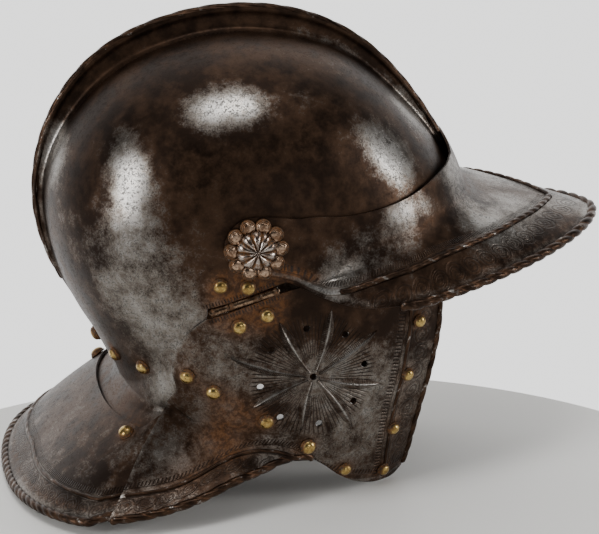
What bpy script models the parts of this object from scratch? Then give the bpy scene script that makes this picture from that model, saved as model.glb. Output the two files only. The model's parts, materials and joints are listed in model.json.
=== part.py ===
"""A burgonet: an open helmet of thin steel plate.

Metres, +Z up, +X the wearer's front and +Y the wearer's left. Every plate is laid out in the
head's own frame, whose origin is the middle of the axis that the peak turns on. At the end the
helmet is stood on its neck flange and its cheekpieces.
"""

import math

import bmesh
import bpy
import numpy as np
from mathutils import Matrix, Vector

for old in list(bpy.data.objects):
    bpy.data.objects.remove(old, do_unlink=True)

# Bowl
HALF_WIDTH = 0.093
CROWN_RADIUS = 0.0955
FULLNESS = 2.3
WALL = 0.0013
PLATE_GAP = 0.0008
PEAK_GAP = 0.0010
SEAT_GAP = 0.0004
LEAF_GAP = 0.0008

# Comb
COMB_HEIGHT = 0.0135
COMB_FOOT = 0.006

# Face opening and nape of the skull, degrees from the front about the peak's axis
BROW_ANGLE = 4.0
SPLIT_ANGLE = 233.5
NAPE_ANGLE = 236.5

# Peak
PEAK_CENTRE = 0.628 * CROWN_RADIUS
PEAK_REACH = 0.1435
PEAK_HALF_WIDTH = 0.102
PEAK_POINTING = 1.65
PEAK_TIP_DROP = 0.0157
PEAK_SIDE_DROP = 0.0345
PEAK_WING_BACK = 0.033
PEAK_WING_OUT = 0.0045
PEAK_WING_RISE = 0.0105
PEAK_WING_TURN = 28.0
PEAK_DROP_LENGTH = 0.1165
LOBE_RADIUS = 0.017
BAND_STAND_OFF = 0.0062

# Neck plate
NECK_TOP_CENTRE = -0.314 * CROWN_RADIUS
NECK_TOP_REACH = 0.466 * CROWN_RADIUS
NECK_TOP_HALF_WIDTH = 0.903 * HALF_WIDTH
NECK_TOP_DROP = 1.131 * CROWN_RADIUS
NECK_EDGE_CENTRE = -0.628 * CROWN_RADIUS
NECK_EDGE_REACH = 0.066
NECK_EDGE_HALF_WIDTH = 0.1075
NECK_EDGE_DROP = 0.1545
NECK_TOP_TURN = 56.0
NECK_EDGE_TURN = 68.0
NECK_BULGE = 0.0016

# Turned and roped edges
ROPE_RADIUS = 0.0022
FRONT_ROPE_RADIUS = 0.0018

# Peak pivot
SHANK_RADIUS = 0.003
SHANK_CLEARANCE = 0.0003
BOSS_RADIUS = 0.011
BOSS_HEIGHT = 0.0062
BOSS_FLUTES = 10
WASHER_RADIUS = 0.0175
WASHER_PETALS = 10
WASHER_THICKNESS = 0.0014

# Cheekpiece hinge: ends of its line in the side view, as shares of the crown radius
HINGE_REAR_PLACE = (-0.245, -0.3864)
HINGE_FRONT_PLACE = (0.1288, -0.2576)
KNUCKLE_RADIUS = 0.00195
HINGE_LIFT = 0.001
HINGE_SLOT = 0.0025
KNUCKLE_GAP = 0.0003
PIN_RADIUS = 0.0009
PIN_CLEARANCE = 0.00025
LEAF_THICKNESS = 0.001

# Rivets with domed caps
RIVET_RADIUS = 0.0044
RIVET_HEIGHT = 0.0032
SMALL_RIVET_RADIUS = 0.0038

# Star pierced in each cheekpiece
STAR_CENTRE = (0.3372, -0.8042)
STAR_HOLE_RADIUS = 0.00195
STAR_CIRCLE = 0.0292
STAR_HOLES = 8
STAR_TURN = 8.0
DRILL_REACH = 0.008


def through(knots, values, at):
    """A smooth curve through values at rising knots, read at one place or many."""
    x = np.asarray(knots, float)
    y = np.asarray(values, float)
    step = np.diff(x)
    slope = (np.diff(y, axis=0).T / step).T
    tangent = np.empty_like(y)
    tangent[0], tangent[-1] = slope[0], slope[-1]
    before, after = step[:-1], step[1:]
    tangent[1:-1] = ((slope[:-1].T * after + slope[1:].T * before) / (before + after)).T
    place = np.clip(np.asarray(at, float), x[0], x[-1])
    i = np.clip(np.searchsorted(x, place, side="right") - 1, 0, len(step) - 1)
    s = (place - x[i]) / step[i]
    h = step[i]
    if y.ndim > 1 and np.ndim(place):
        s, h = s[:, None], h[:, None]
    return (
        (2 * s**3 - 3 * s**2 + 1) * y[i]
        + (s**3 - 2 * s**2 + s) * h * tangent[i]
        + (3 * s**2 - 2 * s**3) * y[i + 1]
        + (s**3 - s**2) * h * tangent[i + 1]
    )


def along(points, share):
    """The point at a share of the length of a smooth line through points."""
    line = np.asarray(points, float)
    length = np.concatenate([[0], np.cumsum(np.linalg.norm(np.diff(line, axis=0), axis=1))])
    return through(length / length[-1], line, share)


def column(table, index):
    return [row[index] for row in table]


def laid_out(shares):
    """Places in the side view, along X and Z from the peak's axis, from shares of the crown radius."""
    return [(x * CROWN_RADIUS, z * CROWN_RADIUS) for x, z in shares]


# The bowl's outline about the peak's axis: degrees, radius as a share of the crown radius.
# From 237 to 364 degrees no plate reaches it, and it only shapes the sides.
OUTLINE = [
    (4, 1.290),
    (12, 1.240),
    (20, 1.183),
    (31, 1.120),
    (45, 1.087),
    (60, 1.052),
    (72, 1.018),
    (84, 1.003),
    (97, 1.000),
    (110, 1.004),
    (127, 1.036),
    (145, 1.062),
    (160, 1.083),
    (172, 1.095),
    (182, 1.083),
    (192, 1.072),
    (205, 1.068),
    (213, 1.076),
    (221, 1.090),
    (229, 1.140),
    (236.5, 1.212),
    (244, 1.440),
    (252, 1.610),
    (262, 1.880),
    (276, 2.120),
    (290, 2.140),
    (305, 1.900),
    (318, 1.740),
    (333, 1.590),
    (348, 1.410),
    (364, 1.290),
]

# The comb: degrees, height as a share of COMB_HEIGHT
COMB = [
    (4, 0.20),
    (12, 0.30),
    (20, 0.42),
    (32, 0.62),
    (45, 0.74),
    (60, 0.88),
    (70, 0.98),
    (95, 1.00),
    (120, 0.99),
    (140, 0.88),
    (155, 0.68),
    (170, 0.44),
    (185, 0.34),
    (198, 0.20),
    (210, 0.02),
    (236.5, 0.0),
]

# Section of the comb from its foot to its top: half thickness as a share of the foot's,
# rise as a share of the height there
COMB_SECTION = [
    (0.55, 0.14),
    (0.36, 0.55),
    (0.46, 0.80),
    (0.36, 0.96),
    (0.0, 1.0),
]


def outline_radius(degrees):
    turn = (degrees - OUTLINE[0][0]) % 360 + OUTLINE[0][0]
    return CROWN_RADIUS * float(through(column(OUTLINE, 0), column(OUTLINE, 1), turn))


def comb_height(degrees):
    return COMB_HEIGHT * float(through(column(COMB, 0), column(COMB, 1), degrees))


def bowl_depth(share):
    """Half width at a share of the way from the peak's axis to the outline."""
    return HALF_WIDTH * (1 - min(share, 1.0) ** FULLNESS) ** (1 / FULLNESS)


def share_at(depth):
    return (1 - (depth / HALF_WIDTH) ** FULLNESS) ** (1 / FULLNESS)


def on_bowl(x, z, lift=0.0):
    """The point of the right side at a place in the side view, lifted off the bowl's face."""
    degrees = math.degrees(math.atan2(z, x))
    radius = math.hypot(x, z)
    outline = outline_radius(degrees)
    share = min(radius / outline, 1.0)
    depth = bowl_depth(share)
    turn = 0.5
    bend = (outline_radius(degrees + turn) - outline_radius(degrees - turn)) / math.radians(2 * turn)
    slope = share ** (FULLNESS - 1) / outline
    inward = Vector((x, 0, z)).normalized()
    sideways = Vector((-inward.z, 0, inward.x))
    normal = (
        inward * slope
        - sideways * slope * share * bend / max(radius, 1e-6)
        + Vector((0, -((depth / HALF_WIDTH) ** (FULLNESS - 1)) / HALF_WIDTH, 0))
    ).normalized()
    return Vector((x, -depth, z)) + normal * lift


def at_turn(degrees, share, lift=0.0):
    radius = share * outline_radius(degrees)
    return on_bowl(
        radius * math.cos(math.radians(degrees)), radius * math.sin(math.radians(degrees)), lift
    )


def metal(name, colour, roughness):
    made = bpy.data.materials.new(name)
    made.use_nodes = True
    shader = made.node_tree.nodes["Principled BSDF"]
    shader.inputs["Base Color"].default_value = (*colour, 1)
    shader.inputs["Metallic"].default_value = 1.0
    shader.inputs["Roughness"].default_value = roughness
    return made


STEEL = metal("dark steel", (0.17, 0.14, 0.12), 0.38)
WORN_STEEL = metal("worn steel", (0.30, 0.28, 0.26), 0.36)
BRONZE = metal("bronze", (0.33, 0.20, 0.12), 0.34)
BRASS = metal("brass", (0.62, 0.43, 0.16), 0.30)


def empty(name, place, parent=None):
    made = bpy.data.objects.new(name, None)
    bpy.context.collection.objects.link(made)
    made.location = place
    made.parent = parent
    return made


stance = empty("stance", (0, 0, 0))
peak_pivot = empty("peak_pivot", (0, 0, 0), stance)


def place(name, mesh, finish, parent, guide=False):
    made = bpy.data.objects.new(name, mesh)
    bpy.context.collection.objects.link(made)
    made.parent = parent
    if parent is not stance:
        made.matrix_parent_inverse = Matrix.Translation(parent.location).inverted()
    if guide:
        made.hide_render = True
        made.display_type = "WIRE"
    else:
        mesh.materials.append(finish)
        mesh.shade_smooth()
        mesh.set_sharp_from_angle(angle=math.radians(40))
    return made


def mesh_of(name, bm):
    mesh = bpy.data.meshes.new(name)
    bm.to_mesh(mesh)
    bm.free()
    return mesh


def add_grid(bm, grid):
    """Quads between the points of a grid, a list of lines of points."""
    made = [[bm.verts.new(p) for p in line] for line in grid]
    for a, b in zip(made, made[1:]):
        for k in range(len(a) - 1):
            bm.faces.new((a[k], a[k + 1], b[k + 1], b[k]))


def skin(name, grids, inside):
    """One open surface from grids that share edges, facing away from a point inside."""
    bm = bmesh.new()
    for grid in grids:
        add_grid(bm, grid)
    bmesh.ops.remove_doubles(bm, verts=bm.verts, dist=2e-6)
    bmesh.ops.dissolve_degenerate(bm, edges=bm.edges, dist=2e-6)
    bmesh.ops.recalc_face_normals(bm, faces=bm.faces)
    away = sum(f.normal.dot(f.calc_center_median() - Vector(inside)) * f.calc_area() for f in bm.faces)
    if away < 0:
        bmesh.ops.reverse_faces(bm, faces=bm.faces)
    return mesh_of(name, bm)


def other_side(mesh):
    """The same mesh for the wearer's left."""
    made = mesh.copy()
    made.transform(Matrix.Diagonal((1, -1, 1, 1)))
    made.flip_normals()
    return made


def thicken(obj, wall):
    solid = obj.modifiers.new("wall", "SOLIDIFY")
    solid.thickness = wall
    solid.offset = -1
    solid.use_even_offset = True
    solid.use_quality_normals = True


def mirror(obj):
    made = obj.modifiers.new("both sides", "MIRROR")
    made.use_axis = (False, True, False)
    made.use_clip = False
    made.merge_threshold = 1e-5


def combine(obj, operand, operation):
    made = obj.modifiers.new(operand.name, "BOOLEAN")
    made.operation = operation
    made.object = operand


def ring(centre, normal, start, radius, sides, turn=0.0):
    across = normal.cross(start).normalized()
    up = across.cross(normal).normalized()
    return [
        centre
        + (
            up * math.cos(turn + 2 * math.pi * k / sides)
            + across * math.sin(turn + 2 * math.pi * k / sides)
        )
        * radius
        for k in range(sides)
    ]


def stack(bm, rings):
    """A closed solid through rings of equal counts, with flat ends."""
    made = [[bm.verts.new(p) for p in points] for points in rings]
    sides = len(made[0])
    for a, b in zip(made, made[1:]):
        for k in range(sides):
            bm.faces.new((a[k], a[(k + 1) % sides], b[(k + 1) % sides], b[k]))
    bm.faces.new(list(reversed(made[0])))
    bm.faces.new(made[-1])


def solid(name, parts):
    """A mesh of closed solids, each given by its rings."""
    bm = bmesh.new()
    for rings in parts:
        stack(bm, rings)
    bmesh.ops.recalc_face_normals(bm, faces=bm.faces)
    return mesh_of(name, bm)


def cord(points, radius, sides=6):
    """Rings of a round edge that follows a line of points."""
    line = [Vector(p) for p in points]
    rings = []
    for i, point in enumerate(line):
        ahead = line[min(i + 1, len(line) - 1)] - line[max(i - 1, 0)]
        rings.append(ring(point, ahead.normalized(), Vector((0, 0, 1)), radius, sides, math.pi / sides))
    return rings


# Skull: one plate with its hollow comb, raised from the bowl
HOLE_RADIUS = SHANK_RADIUS + SHANK_CLEARANCE
SIDE_STEPS = 7
SLOT_STEPS = 3
SPLIT_RADIUS = 0.0430
COMB_TURNS = [BROW_ANGLE, 13, 22, 32, 43, *range(55, 188, 12), 198, 208, 217, 226, SPLIT_ANGLE, NAPE_ANGLE]


def slot_line(share, side):
    """A place beside the hinge line in the side view, above it for side 1 and below for -1."""
    rear, front = Vector(HINGE_REAR), Vector(HINGE_FRONT)
    run = (front - rear).normalized()
    away = Vector((-run.y, run.x)) * side * HINGE_SLOT
    return rear.lerp(front, share) + away


# The skull's free edges in the side view: the waist of the nape from the back round to the side,
# the edge of the tongue that runs down under the cheekpiece, and the brow
WAIST_EDGE = laid_out([
    (-0.6335, -1.0262),
    (-0.5812, -1.0314),
    (-0.5079, -1.0366),
    (-0.4293, -1.0366),
    (-0.3560, -1.0209),
])
TONGUE_EDGE = laid_out([
    (-0.2806, -0.4503),
    (-0.3194, -0.5445),
    (-0.3455, -0.6702),
    (-0.3508, -0.7958),
    (-0.3455, -0.9215),
])
BROW_EDGE = laid_out([
    (0.2408, -0.1937),
    (0.3770, -0.1257),
    (0.5550, -0.0419),
    (0.7749, 0.0209),
    (0.9738, 0.0545),
    (1.1204, 0.0733),
    (1.2147, 0.0817),
])


def side_line(degrees, start, end, steps):
    """Points of the bowl at one turn about the axis, between two shares of the way to the median."""
    low = math.asin(start ** (FULLNESS / 2))
    high = math.asin(end ** (FULLNESS / 2))
    shares = [math.sin(low + (high - low) * k / steps) ** (2 / FULLNESS) for k in range(steps + 1)]
    return [at_turn(degrees, share) for share in shares]


def line_to(end, steps):
    """Points of the bowl from the pivot hole to a place in the side view."""
    degrees = math.degrees(math.atan2(end[1], end[0]))
    outline = outline_radius(degrees)
    return side_line(degrees, HOLE_RADIUS / outline, math.hypot(*end) / outline, steps)


def comb_line(degrees):
    """Points from the comb's foot to its top at one turn about the axis."""
    foot = share_at(COMB_FOOT)
    radius = outline_radius(degrees)
    height = comb_height(degrees)
    shaped = min(1.0, 2.5 * height / COMB_HEIGHT)
    direction = Vector((math.cos(math.radians(degrees)), 0, math.sin(math.radians(degrees))))
    start = bowl_depth(foot)
    line = [at_turn(degrees, foot)]
    for k, (half, rise) in enumerate(COMB_SECTION):
        flat = 1 - (k + 1) / len(COMB_SECTION)
        depth = start * (shaped * half + (1 - shaped) * flat)
        out = radius * share_at(depth) + height * rise
        line.append(direction * out + Vector((0, -depth, 0)))
    line[-1].y = 0.0
    return line


def build_skull():
    foot = share_at(COMB_FOOT)
    rays = []
    for degrees in COMB_TURNS:
        outline = outline_radius(degrees)
        if degrees >= SPLIT_ANGLE:
            split = SPLIT_RADIUS / outline * (1.0 if degrees == SPLIT_ANGLE else 1.07)
            line = side_line(degrees, HOLE_RADIUS / outline, split, SLOT_STEPS)
            line += side_line(degrees, split, foot, SIDE_STEPS - SLOT_STEPS)[1:]
        else:
            line = side_line(degrees, HOLE_RADIUS / outline, foot, SIDE_STEPS)
        rays.append(line)
    combs = [comb_line(degrees) for degrees in COMB_TURNS]
    split_ray, nape_ray = rays[-2:]
    slot = [line_to(slot_line(share, 1), SLOT_STEPS) for share in (0.04, 0.35, 0.7, 1.06)]
    front = [line + [line[-1]] * (SIDE_STEPS - SLOT_STEPS) for line in slot[-1:]]
    front += [line_to(end, SIDE_STEPS) for end in BROW_EDGE] + [rays[0]]
    tongue = [nape_ray[SLOT_STEPS:]]
    reach = [(p - nape_ray[SLOT_STEPS]).length for p in tongue[0]]
    for inner, outer in zip(TONGUE_EDGE, WAIST_EDGE):
        places = [Vector(inner).lerp(Vector(outer), r / reach[-1]) for r in reach]
        tongue.append([on_bowl(*p) for p in places])
    nape = list(reversed(combs[-1])) + [line[-1] for line in tongue[1:]]
    skirt = []
    for k, top in enumerate(nape):
        side = 0.97 * math.asin(min(1.0, top.y / nape[-1].y) ** (FULLNESS / 2)) / (math.pi / 2)
        middle = neck_point(side, -0.10, -(WALL + PLATE_GAP))
        low = neck_point(side, 0.10, -(WALL + PLATE_GAP))
        if k == 0:
            middle.y = low.y = 0.0
        skirt.append([top, middle, low])
    slots = [split_ray[: SLOT_STEPS + 1]] + slot
    beside = [split_ray[SLOT_STEPS:], nape_ray[SLOT_STEPS:]]
    mesh = skin("skull", [rays[:-1], combs, slots, front, beside, tongue, skirt], (0, 0, -0.02))
    made = place("skull", mesh, STEEL, stance)
    mirror(made)
    thicken(made, WALL)
    return made


# Cheekpiece outline in the side view
CHEEK_REAR = laid_out([
    (-0.2723, -0.4241),
    (-0.3455, -0.4921),
    (-0.4031, -0.5864),
    (-0.4346, -0.6911),
    (-0.4346, -0.7853),
    (-0.4188, -0.8691),
    (-0.4607, -0.9634),
])
CHEEK_REAR_LOW = laid_out([
    (-0.4607, -0.9634),
    (-0.5445, -1.0785),
    (-0.6597, -1.2461),
    (-0.7728, -1.4241),
    (-0.8628, -1.5340),
])
CHEEK_TOP_FRONT = laid_out([
    (0.3141, -0.2461),
    (0.5445, -0.2775),
    (0.8063, -0.3141),
    (1.0942, -0.3613),
])
CHEEK_CREASE = laid_out([
    (-0.4607, -0.9634),
    (-0.2932, -1.0785),
    (-0.1047, -1.1309),
    (0.1257, -1.1728),
    (0.3455, -1.2251),
    (0.5864, -1.3194),
    (0.7958, -1.3613),
    (0.9634, -1.3298),
])
CHEEK_EDGE = laid_out([
    (-0.8628, -1.5340),
    (-0.6283, -1.5089),
    (-0.3351, -1.4419),
    (-0.1560, -1.3822),
    (0.0105, -1.3518),
    (0.1812, -1.3120),
    (0.3351, -1.3330),
    (0.4115, -1.3843),
    (0.5183, -1.4775),
    (0.6283, -1.5445),
    (0.7853, -1.5832),
    (0.8702, -1.5759),
    (0.9215, -1.5340),
])
CHEEK_FRONT = laid_out([
    (1.0942, -0.3613),
    (1.1058, -0.4932),
    (1.0995, -0.6209),
    (1.0754, -0.7780),
    (1.0513, -0.9058),
    (1.0126, -1.0681),
    (0.9843, -1.2073),
    (0.9634, -1.3298),
])
CHEEK_FRONT_LOW = laid_out([
    (0.9634, -1.3298),
    (0.9476, -1.4346),
    (0.9215, -1.5340),
])

# The flange: place of its edge along X as a share of the crown radius, how far it stands out
# from the median plane as a share of the bowl's half width
FLANGE_REACH = [
    (-0.8628, 1.1344),
    (-0.6283, 1.1344),
    (-0.3351, 1.1022),
    (-0.1560, 1.0484),
    (0.0105, 0.9731),
    (0.1812, 0.9032),
    (0.3351, 0.8387),
]


# How far the cheekpiece lies over the skull: place along X as a share of the crown radius, share
# of a plate and its gap
CHEEK_STAND = [(-0.314136, 1.0), (-0.230366, 1.0), (0.041885, 0.25), (0.209424, 0.2)]


def cheek_top():
    hinge = [tuple(slot_line(share, -1)) for share in (0.3, 0.7, 1.05)]
    return [CHEEK_REAR[0]] + hinge + CHEEK_TOP_FRONT


def cheek_lift(x):
    """The cheekpiece lies on the skull behind the hinge and flush with it in front."""
    places = [share * CROWN_RADIUS for share in column(CHEEK_STAND, 0)]
    return float(through(places, column(CHEEK_STAND, 1), x)) * (WALL + PLATE_GAP)


def patch_place(u, v, top, bottom, rear, front):
    """A place in a four-sided patch of the side view, u from rear to front, v from the top."""
    t, b = along(top, u), along(bottom, u)
    r, f = along(rear, v), along(front, v)
    corners = (
        (1 - u) * (1 - v) * np.asarray(top[0])
        + u * (1 - v) * np.asarray(top[-1])
        + (1 - u) * v * np.asarray(bottom[0])
        + u * v * np.asarray(bottom[-1])
    )
    return (1 - v) * t + v * b + (1 - u) * r + u * f - corners


def cheek_face(u, v):
    """The right cheekpiece's outer face: v from 0 to 1 down to the flange's crease, 2 at the edge."""
    if v <= 1:
        x, z = patch_place(u, v, cheek_top(), CHEEK_CREASE, CHEEK_REAR, CHEEK_FRONT)
        return on_bowl(x, z, cheek_lift(x))
    low = v - 1
    x, z = patch_place(u, low, CHEEK_CREASE, CHEEK_EDGE, CHEEK_REAR_LOW, CHEEK_FRONT_LOW)
    edge_x = along(CHEEK_EDGE, u)[0]
    flange_x = [share * CROWN_RADIUS for share in column(FLANGE_REACH, 0)]
    if edge_x >= flange_x[-1]:
        return on_bowl(x, z, cheek_lift(x))
    top = on_bowl(*along(CHEEK_CREASE, u))
    top_y = top.y - cheek_lift(top.x)
    edge_y = -HALF_WIDTH * float(through(flange_x, column(FLANGE_REACH, 1), edge_x))
    ease = 0.4 * low + 0.6 * low * low
    return Vector((x, top_y + (edge_y - top_y) * ease, z))


def cheek_point(u, v, lift=0.0):
    """A point lifted off the cheekpiece's outer face, and so below it where lift is negative."""
    step = 0.01
    across = cheek_face(min(u + step, 1), v) - cheek_face(max(u - step, 0), v)
    down = cheek_face(u, min(v + step, 2)) - cheek_face(u, max(v - step, 0))
    normal = across.cross(down).normalized()
    if normal.y > 0:
        normal = -normal
    return cheek_face(u, v) + normal * lift


def cheek_seat(x, z):
    """The point of the cheekpiece's face at a place in the side view, and its normal."""
    u, v = 0.5, 0.7
    step = 0.004
    for _ in range(14):
        here = cheek_face(u, v)
        to_u = (cheek_face(u + step, v) - here) / step
        to_v = (cheek_face(u, v + step) - here) / step
        det = to_u.x * to_v.z - to_v.x * to_u.z
        gap_x, gap_z = x - here.x, z - here.z
        u += 0.8 * (gap_x * to_v.z - to_v.x * gap_z) / det
        v += 0.8 * (to_u.x * gap_z - gap_x * to_u.z) / det
        u, v = min(max(u, 0.01), 0.99), min(max(v, 0.01), 1.99)
    seat = cheek_face(u, v)
    return seat, (cheek_point(u, v, 0.01) - seat).normalized()


CHEEK_COLUMNS = [0, 0.05, 0.11, 0.18, 0.26, 0.34, 0.42, 0.49, 0.56, 0.63, 0.71, 0.79, 0.87, 0.94, 1.0]
CHEEK_ROWS = [0, 0.13, 0.28, 0.44, 0.6, 0.76, 0.9, 1.0, 1.3, 1.65, 2.0]


# Neck plate: outward-sloping plate round the back, between its top edge and its roped edge
NECK_EDGE_RISE = [(0.0, 0.0), (0.28, 0.0010), (0.57, 0.0030), (0.79, 0.0045), (0.91, 0.0055), (1.0, 0.0075)]


def neck_plan(degrees, centre, reach, half_width):
    c = math.cos(math.radians(degrees)) ** (2 / FULLNESS)
    s = math.sin(math.radians(degrees)) ** (2 / FULLNESS)
    return centre - reach * c, -half_width * s


def neck_point(side, v, lift=0.0):
    """A point of the neck plate's outer face: side from 0 at the back to 1, v from the top edge down."""
    x0, y0 = neck_plan(side * NECK_TOP_TURN, NECK_TOP_CENTRE, NECK_TOP_REACH, NECK_TOP_HALF_WIDTH)
    x1, y1 = neck_plan(side * NECK_EDGE_TURN, NECK_EDGE_CENTRE, NECK_EDGE_REACH, NECK_EDGE_HALF_WIDTH)
    rise = float(through(column(NECK_EDGE_RISE, 0), column(NECK_EDGE_RISE, 1), -y1 / NECK_EDGE_HALF_WIDTH))
    top = Vector((x0, y0, -NECK_TOP_DROP))
    edge = Vector((x1, y1, rise - NECK_EDGE_DROP))
    slope = (edge - top).normalized()
    outward = Vector((x1 - x0, y1 - y0, 0))
    normal = (outward.normalized() - slope * outward.normalized().dot(slope)).normalized()
    bulge = NECK_BULGE * math.sin(math.pi * min(max(v, 0.0), 1.0))
    return top.lerp(edge, v) + normal * (bulge + lift)


NECK_COLUMNS = [0, 0.14, 0.27, 0.4, 0.52, 0.63, 0.74, 0.84, 0.93]
NECK_ROWS = [0, 0.12, 0.3, 0.5, 0.7, 0.87, 1.0]
NECK_UNDER_CHEEK = 0.07
NECK_UNDER_ROWS = (1.27, 1.93)


def under_cheek(u, v):
    """The neck plate's outer face where the cheekpiece lies over it."""
    start, end = NECK_UNDER_ROWS
    return cheek_point(u, start + (end - start) * v, -(WALL + PLATE_GAP))


def build_neck_plate():
    grid = [[neck_point(side, v) for v in NECK_ROWS] for side in NECK_COLUMNS]
    grid += [[under_cheek(u, v) for v in NECK_ROWS] for u in (0.0, NECK_UNDER_CHEEK)]
    mesh = skin("neck_plate", [grid], (0, 0, -0.4))
    made = place("neck_plate", mesh, STEEL, stance)
    mirror(made)
    thicken(made, WALL)
    right = [neck_point(side, 1.0, -WALL / 2) for side in np.linspace(0.93, 0.0, 14)]
    line = right + [Vector((p.x, -p.y, p.z)) for p in reversed(right[:-1])]
    rope = place("neck_rope", solid("neck_rope", [cord(line, ROPE_RADIUS)]), None, stance, guide=True)
    combine(made, rope, "UNION")
    return made


# Peak: a brow band with an arm to each pivot, and the brim below its crease
# Along the band: share of the way from the pivot to the median, degrees, stand-off share
BAND_TOP = [
    (0.26, 31.0, 0.0),
    (0.413, 16.5, 0.0),
    (0.552, 12.1, 0.05),
    (0.65, 11.1, 0.12),
    (0.754, 11.0, 0.25),
    (0.84, 11.5, 0.42),
    (0.91, 11.7, 0.62),
    (0.965, 11.8, 0.82),
    (0.99, 12.6, 0.95),
    (1.0, 14.6, 1.0),
]
BAND_CREASE = [
    (0.20, -38.5, 0.42),
    (0.268, -24.7, 0.42),
    (0.333, -15.3, 0.38),
    (0.428, -6.35, 0.34),
    (0.567, -1.6, 0.34),
    (0.712, 0.6, 0.4),
    (0.815, 2.0, 0.5),
    (0.93, 2.3, 0.62),
    (1.0, 1.1, 0.70),
]
# Columns from the wing's corner to the median: share on the band, then the place on the
# roped edge as degrees of the plan round from the front
PEAK_COLUMNS = [
    (0.27, 118.0),
    (0.335, 108.0),
    (0.41, 99.0),
    (0.49, 91.0),
    (0.57, 83.0),
    (0.65, 75.0),
    (0.73, 66.0),
    (0.80, 56.0),
    (0.86, 46.5),
    (0.91, 37.0),
    (0.95, 28.0),
    (0.977, 20.0),
    (0.993, 12.0),
    (0.999, 6.0),
    (1.0, 0.0),
]
# Brim between crease and edge: share of the way, dip below the straight line
BRIM = [(0.0, 0.0), (0.07, 0.0014), (0.22, 0.0022), (0.45, 0.0006), (0.72, -0.0004), (1.0, 0.0)]
# Arm in the side view: place along X, top, middle and bottom as shares of the lobe's radius
ARM = [
    (-0.97, 0.24, 0.0, -0.24),
    (-0.72, 0.69, 0.0, -0.69),
    (-0.35, 0.94, 0.0, -0.94),
    (0.10, 1.0, 0.0, -1.0),
    (0.60, 0.97, -0.3, -1.06),
    (1.10, 0.90, -0.75, -1.20),
]
ROPE_STARTS = 78.0
BAND_STEPS = 2


def stand_off(share):
    """How far the band's outer face stands off the bowl."""
    least = WALL + PEAK_GAP
    return least + (BAND_STAND_OFF - least) * share


def band_line(share, steps):
    """Points of the band from its top edge to its crease."""
    top_turn, top_off = (float(through(column(BAND_TOP, 0), column(BAND_TOP, k), share)) for k in (1, 2))
    low_turn, low_off = (
        float(through(column(BAND_CREASE, 0), column(BAND_CREASE, k), share)) for k in (1, 2)
    )
    line = []
    for k in range(steps + 1):
        t = k / steps
        off = stand_off(top_off + (low_off - top_off) * t)
        line.append(at_turn(top_turn + (low_turn - top_turn) * t, share, off))
    return line


def peak_edge(degrees):
    """The peak's lower edge in plan, degrees from the front."""
    turn = math.radians(min(degrees, 90.0))
    x = PEAK_CENTRE + PEAK_REACH * math.cos(turn) ** (2 / PEAK_POINTING)
    y = -PEAK_HALF_WIDTH * math.sin(turn) ** (2 / PEAK_POINTING)
    fall = min(1.0, (PEAK_CENTRE + PEAK_REACH - x) / PEAK_DROP_LENGTH)
    drop = PEAK_TIP_DROP + (PEAK_SIDE_DROP - PEAK_TIP_DROP) * fall
    if degrees > 90:
        back = (degrees - 90) / PEAK_WING_TURN
        x -= PEAK_WING_BACK * back
        y += PEAK_WING_OUT * back**2
        drop -= PEAK_WING_RISE * back**1.5
    return Vector((x, y, -drop))


def peak_column(share, degrees):
    band = band_line(share, BAND_STEPS)
    crease, edge = band[-1], peak_edge(degrees)
    return band[:-1] + [crease.lerp(edge, s) - Vector((0, 0, dip)) for s, dip in BRIM]


def build_peak():
    grid = []
    for x, top, middle, bottom in ARM:
        ends = [Vector((x * LOBE_RADIUS, z * LOBE_RADIUS)) for z in (top, middle, bottom)]
        places = [ends[0].lerp(ends[1], k / BAND_STEPS) for k in range(BAND_STEPS)]
        places += [ends[1].lerp(ends[2], s) for s, _ in BRIM]
        grid.append([on_bowl(p.x, p.y, stand_off(0.0)) for p in places])
    grid += [peak_column(share, degrees) for share, degrees in PEAK_COLUMNS]
    for p in grid[-1]:
        p.y = 0.0
    mesh = skin("peak", [grid], (0, 0, -0.06))
    made = place("peak", mesh, STEEL, peak_pivot)
    mirror(made)
    thicken(made, WALL)
    right = [peak_edge(d) - Vector((0, 0, WALL / 2)) for d in np.linspace(ROPE_STARTS, 0.0, 15)]
    line = right + [Vector((p.x, -p.y, p.z)) for p in reversed(right[:-1])]
    rope = place("peak_rope", solid("peak_rope", [cord(line, ROPE_RADIUS)]), None, peak_pivot, guide=True)
    combine(made, rope, "UNION")
    reach = HALF_WIDTH * 1.2
    side, start = Vector((0, 1, 0)), Vector((0, 0, 1))
    drill = solid("arm_holes", [[ring(side * y, side, start, HOLE_RADIUS, 12) for y in (-reach, reach)]])
    combine(made, place("arm_holes", drill, None, peak_pivot, guide=True), "DIFFERENCE")
    return made


# Cheekpieces: where their ropes run, as shares along the flange's edge and rows of the front edge
FLANGE_ROPE_SPAN = (0.02, 0.66)
FRONT_ROPE_ROWS = (0.06, 0.2, 0.35, 0.5, 0.65, 0.8, 0.92, 1.0, 1.5, 1.9)
STAR_MIDDLE = laid_out([STAR_CENTRE])[0]
STAR_TURNS = [STAR_TURN + 360 * k / STAR_HOLES for k in range(STAR_HOLES)]


def drill_through(x, z, radius, sides=8):
    """Rings of a drill square to the cheekpiece's face at a place in the side view."""
    centre, normal = cheek_seat(x, z)
    start = Vector((0, 0, 1))
    return [ring(centre + normal * d, normal, start, radius, sides) for d in (-DRILL_REACH, DRILL_REACH)]


def star_holes():
    holes = [drill_through(*STAR_MIDDLE, STAR_HOLE_RADIUS)]
    for turn in STAR_TURNS:
        x = STAR_MIDDLE[0] + STAR_CIRCLE * math.cos(math.radians(turn))
        z = STAR_MIDDLE[1] + STAR_CIRCLE * math.sin(math.radians(turn))
        holes.append(drill_through(x, z, STAR_HOLE_RADIUS))
    return holes


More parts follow.
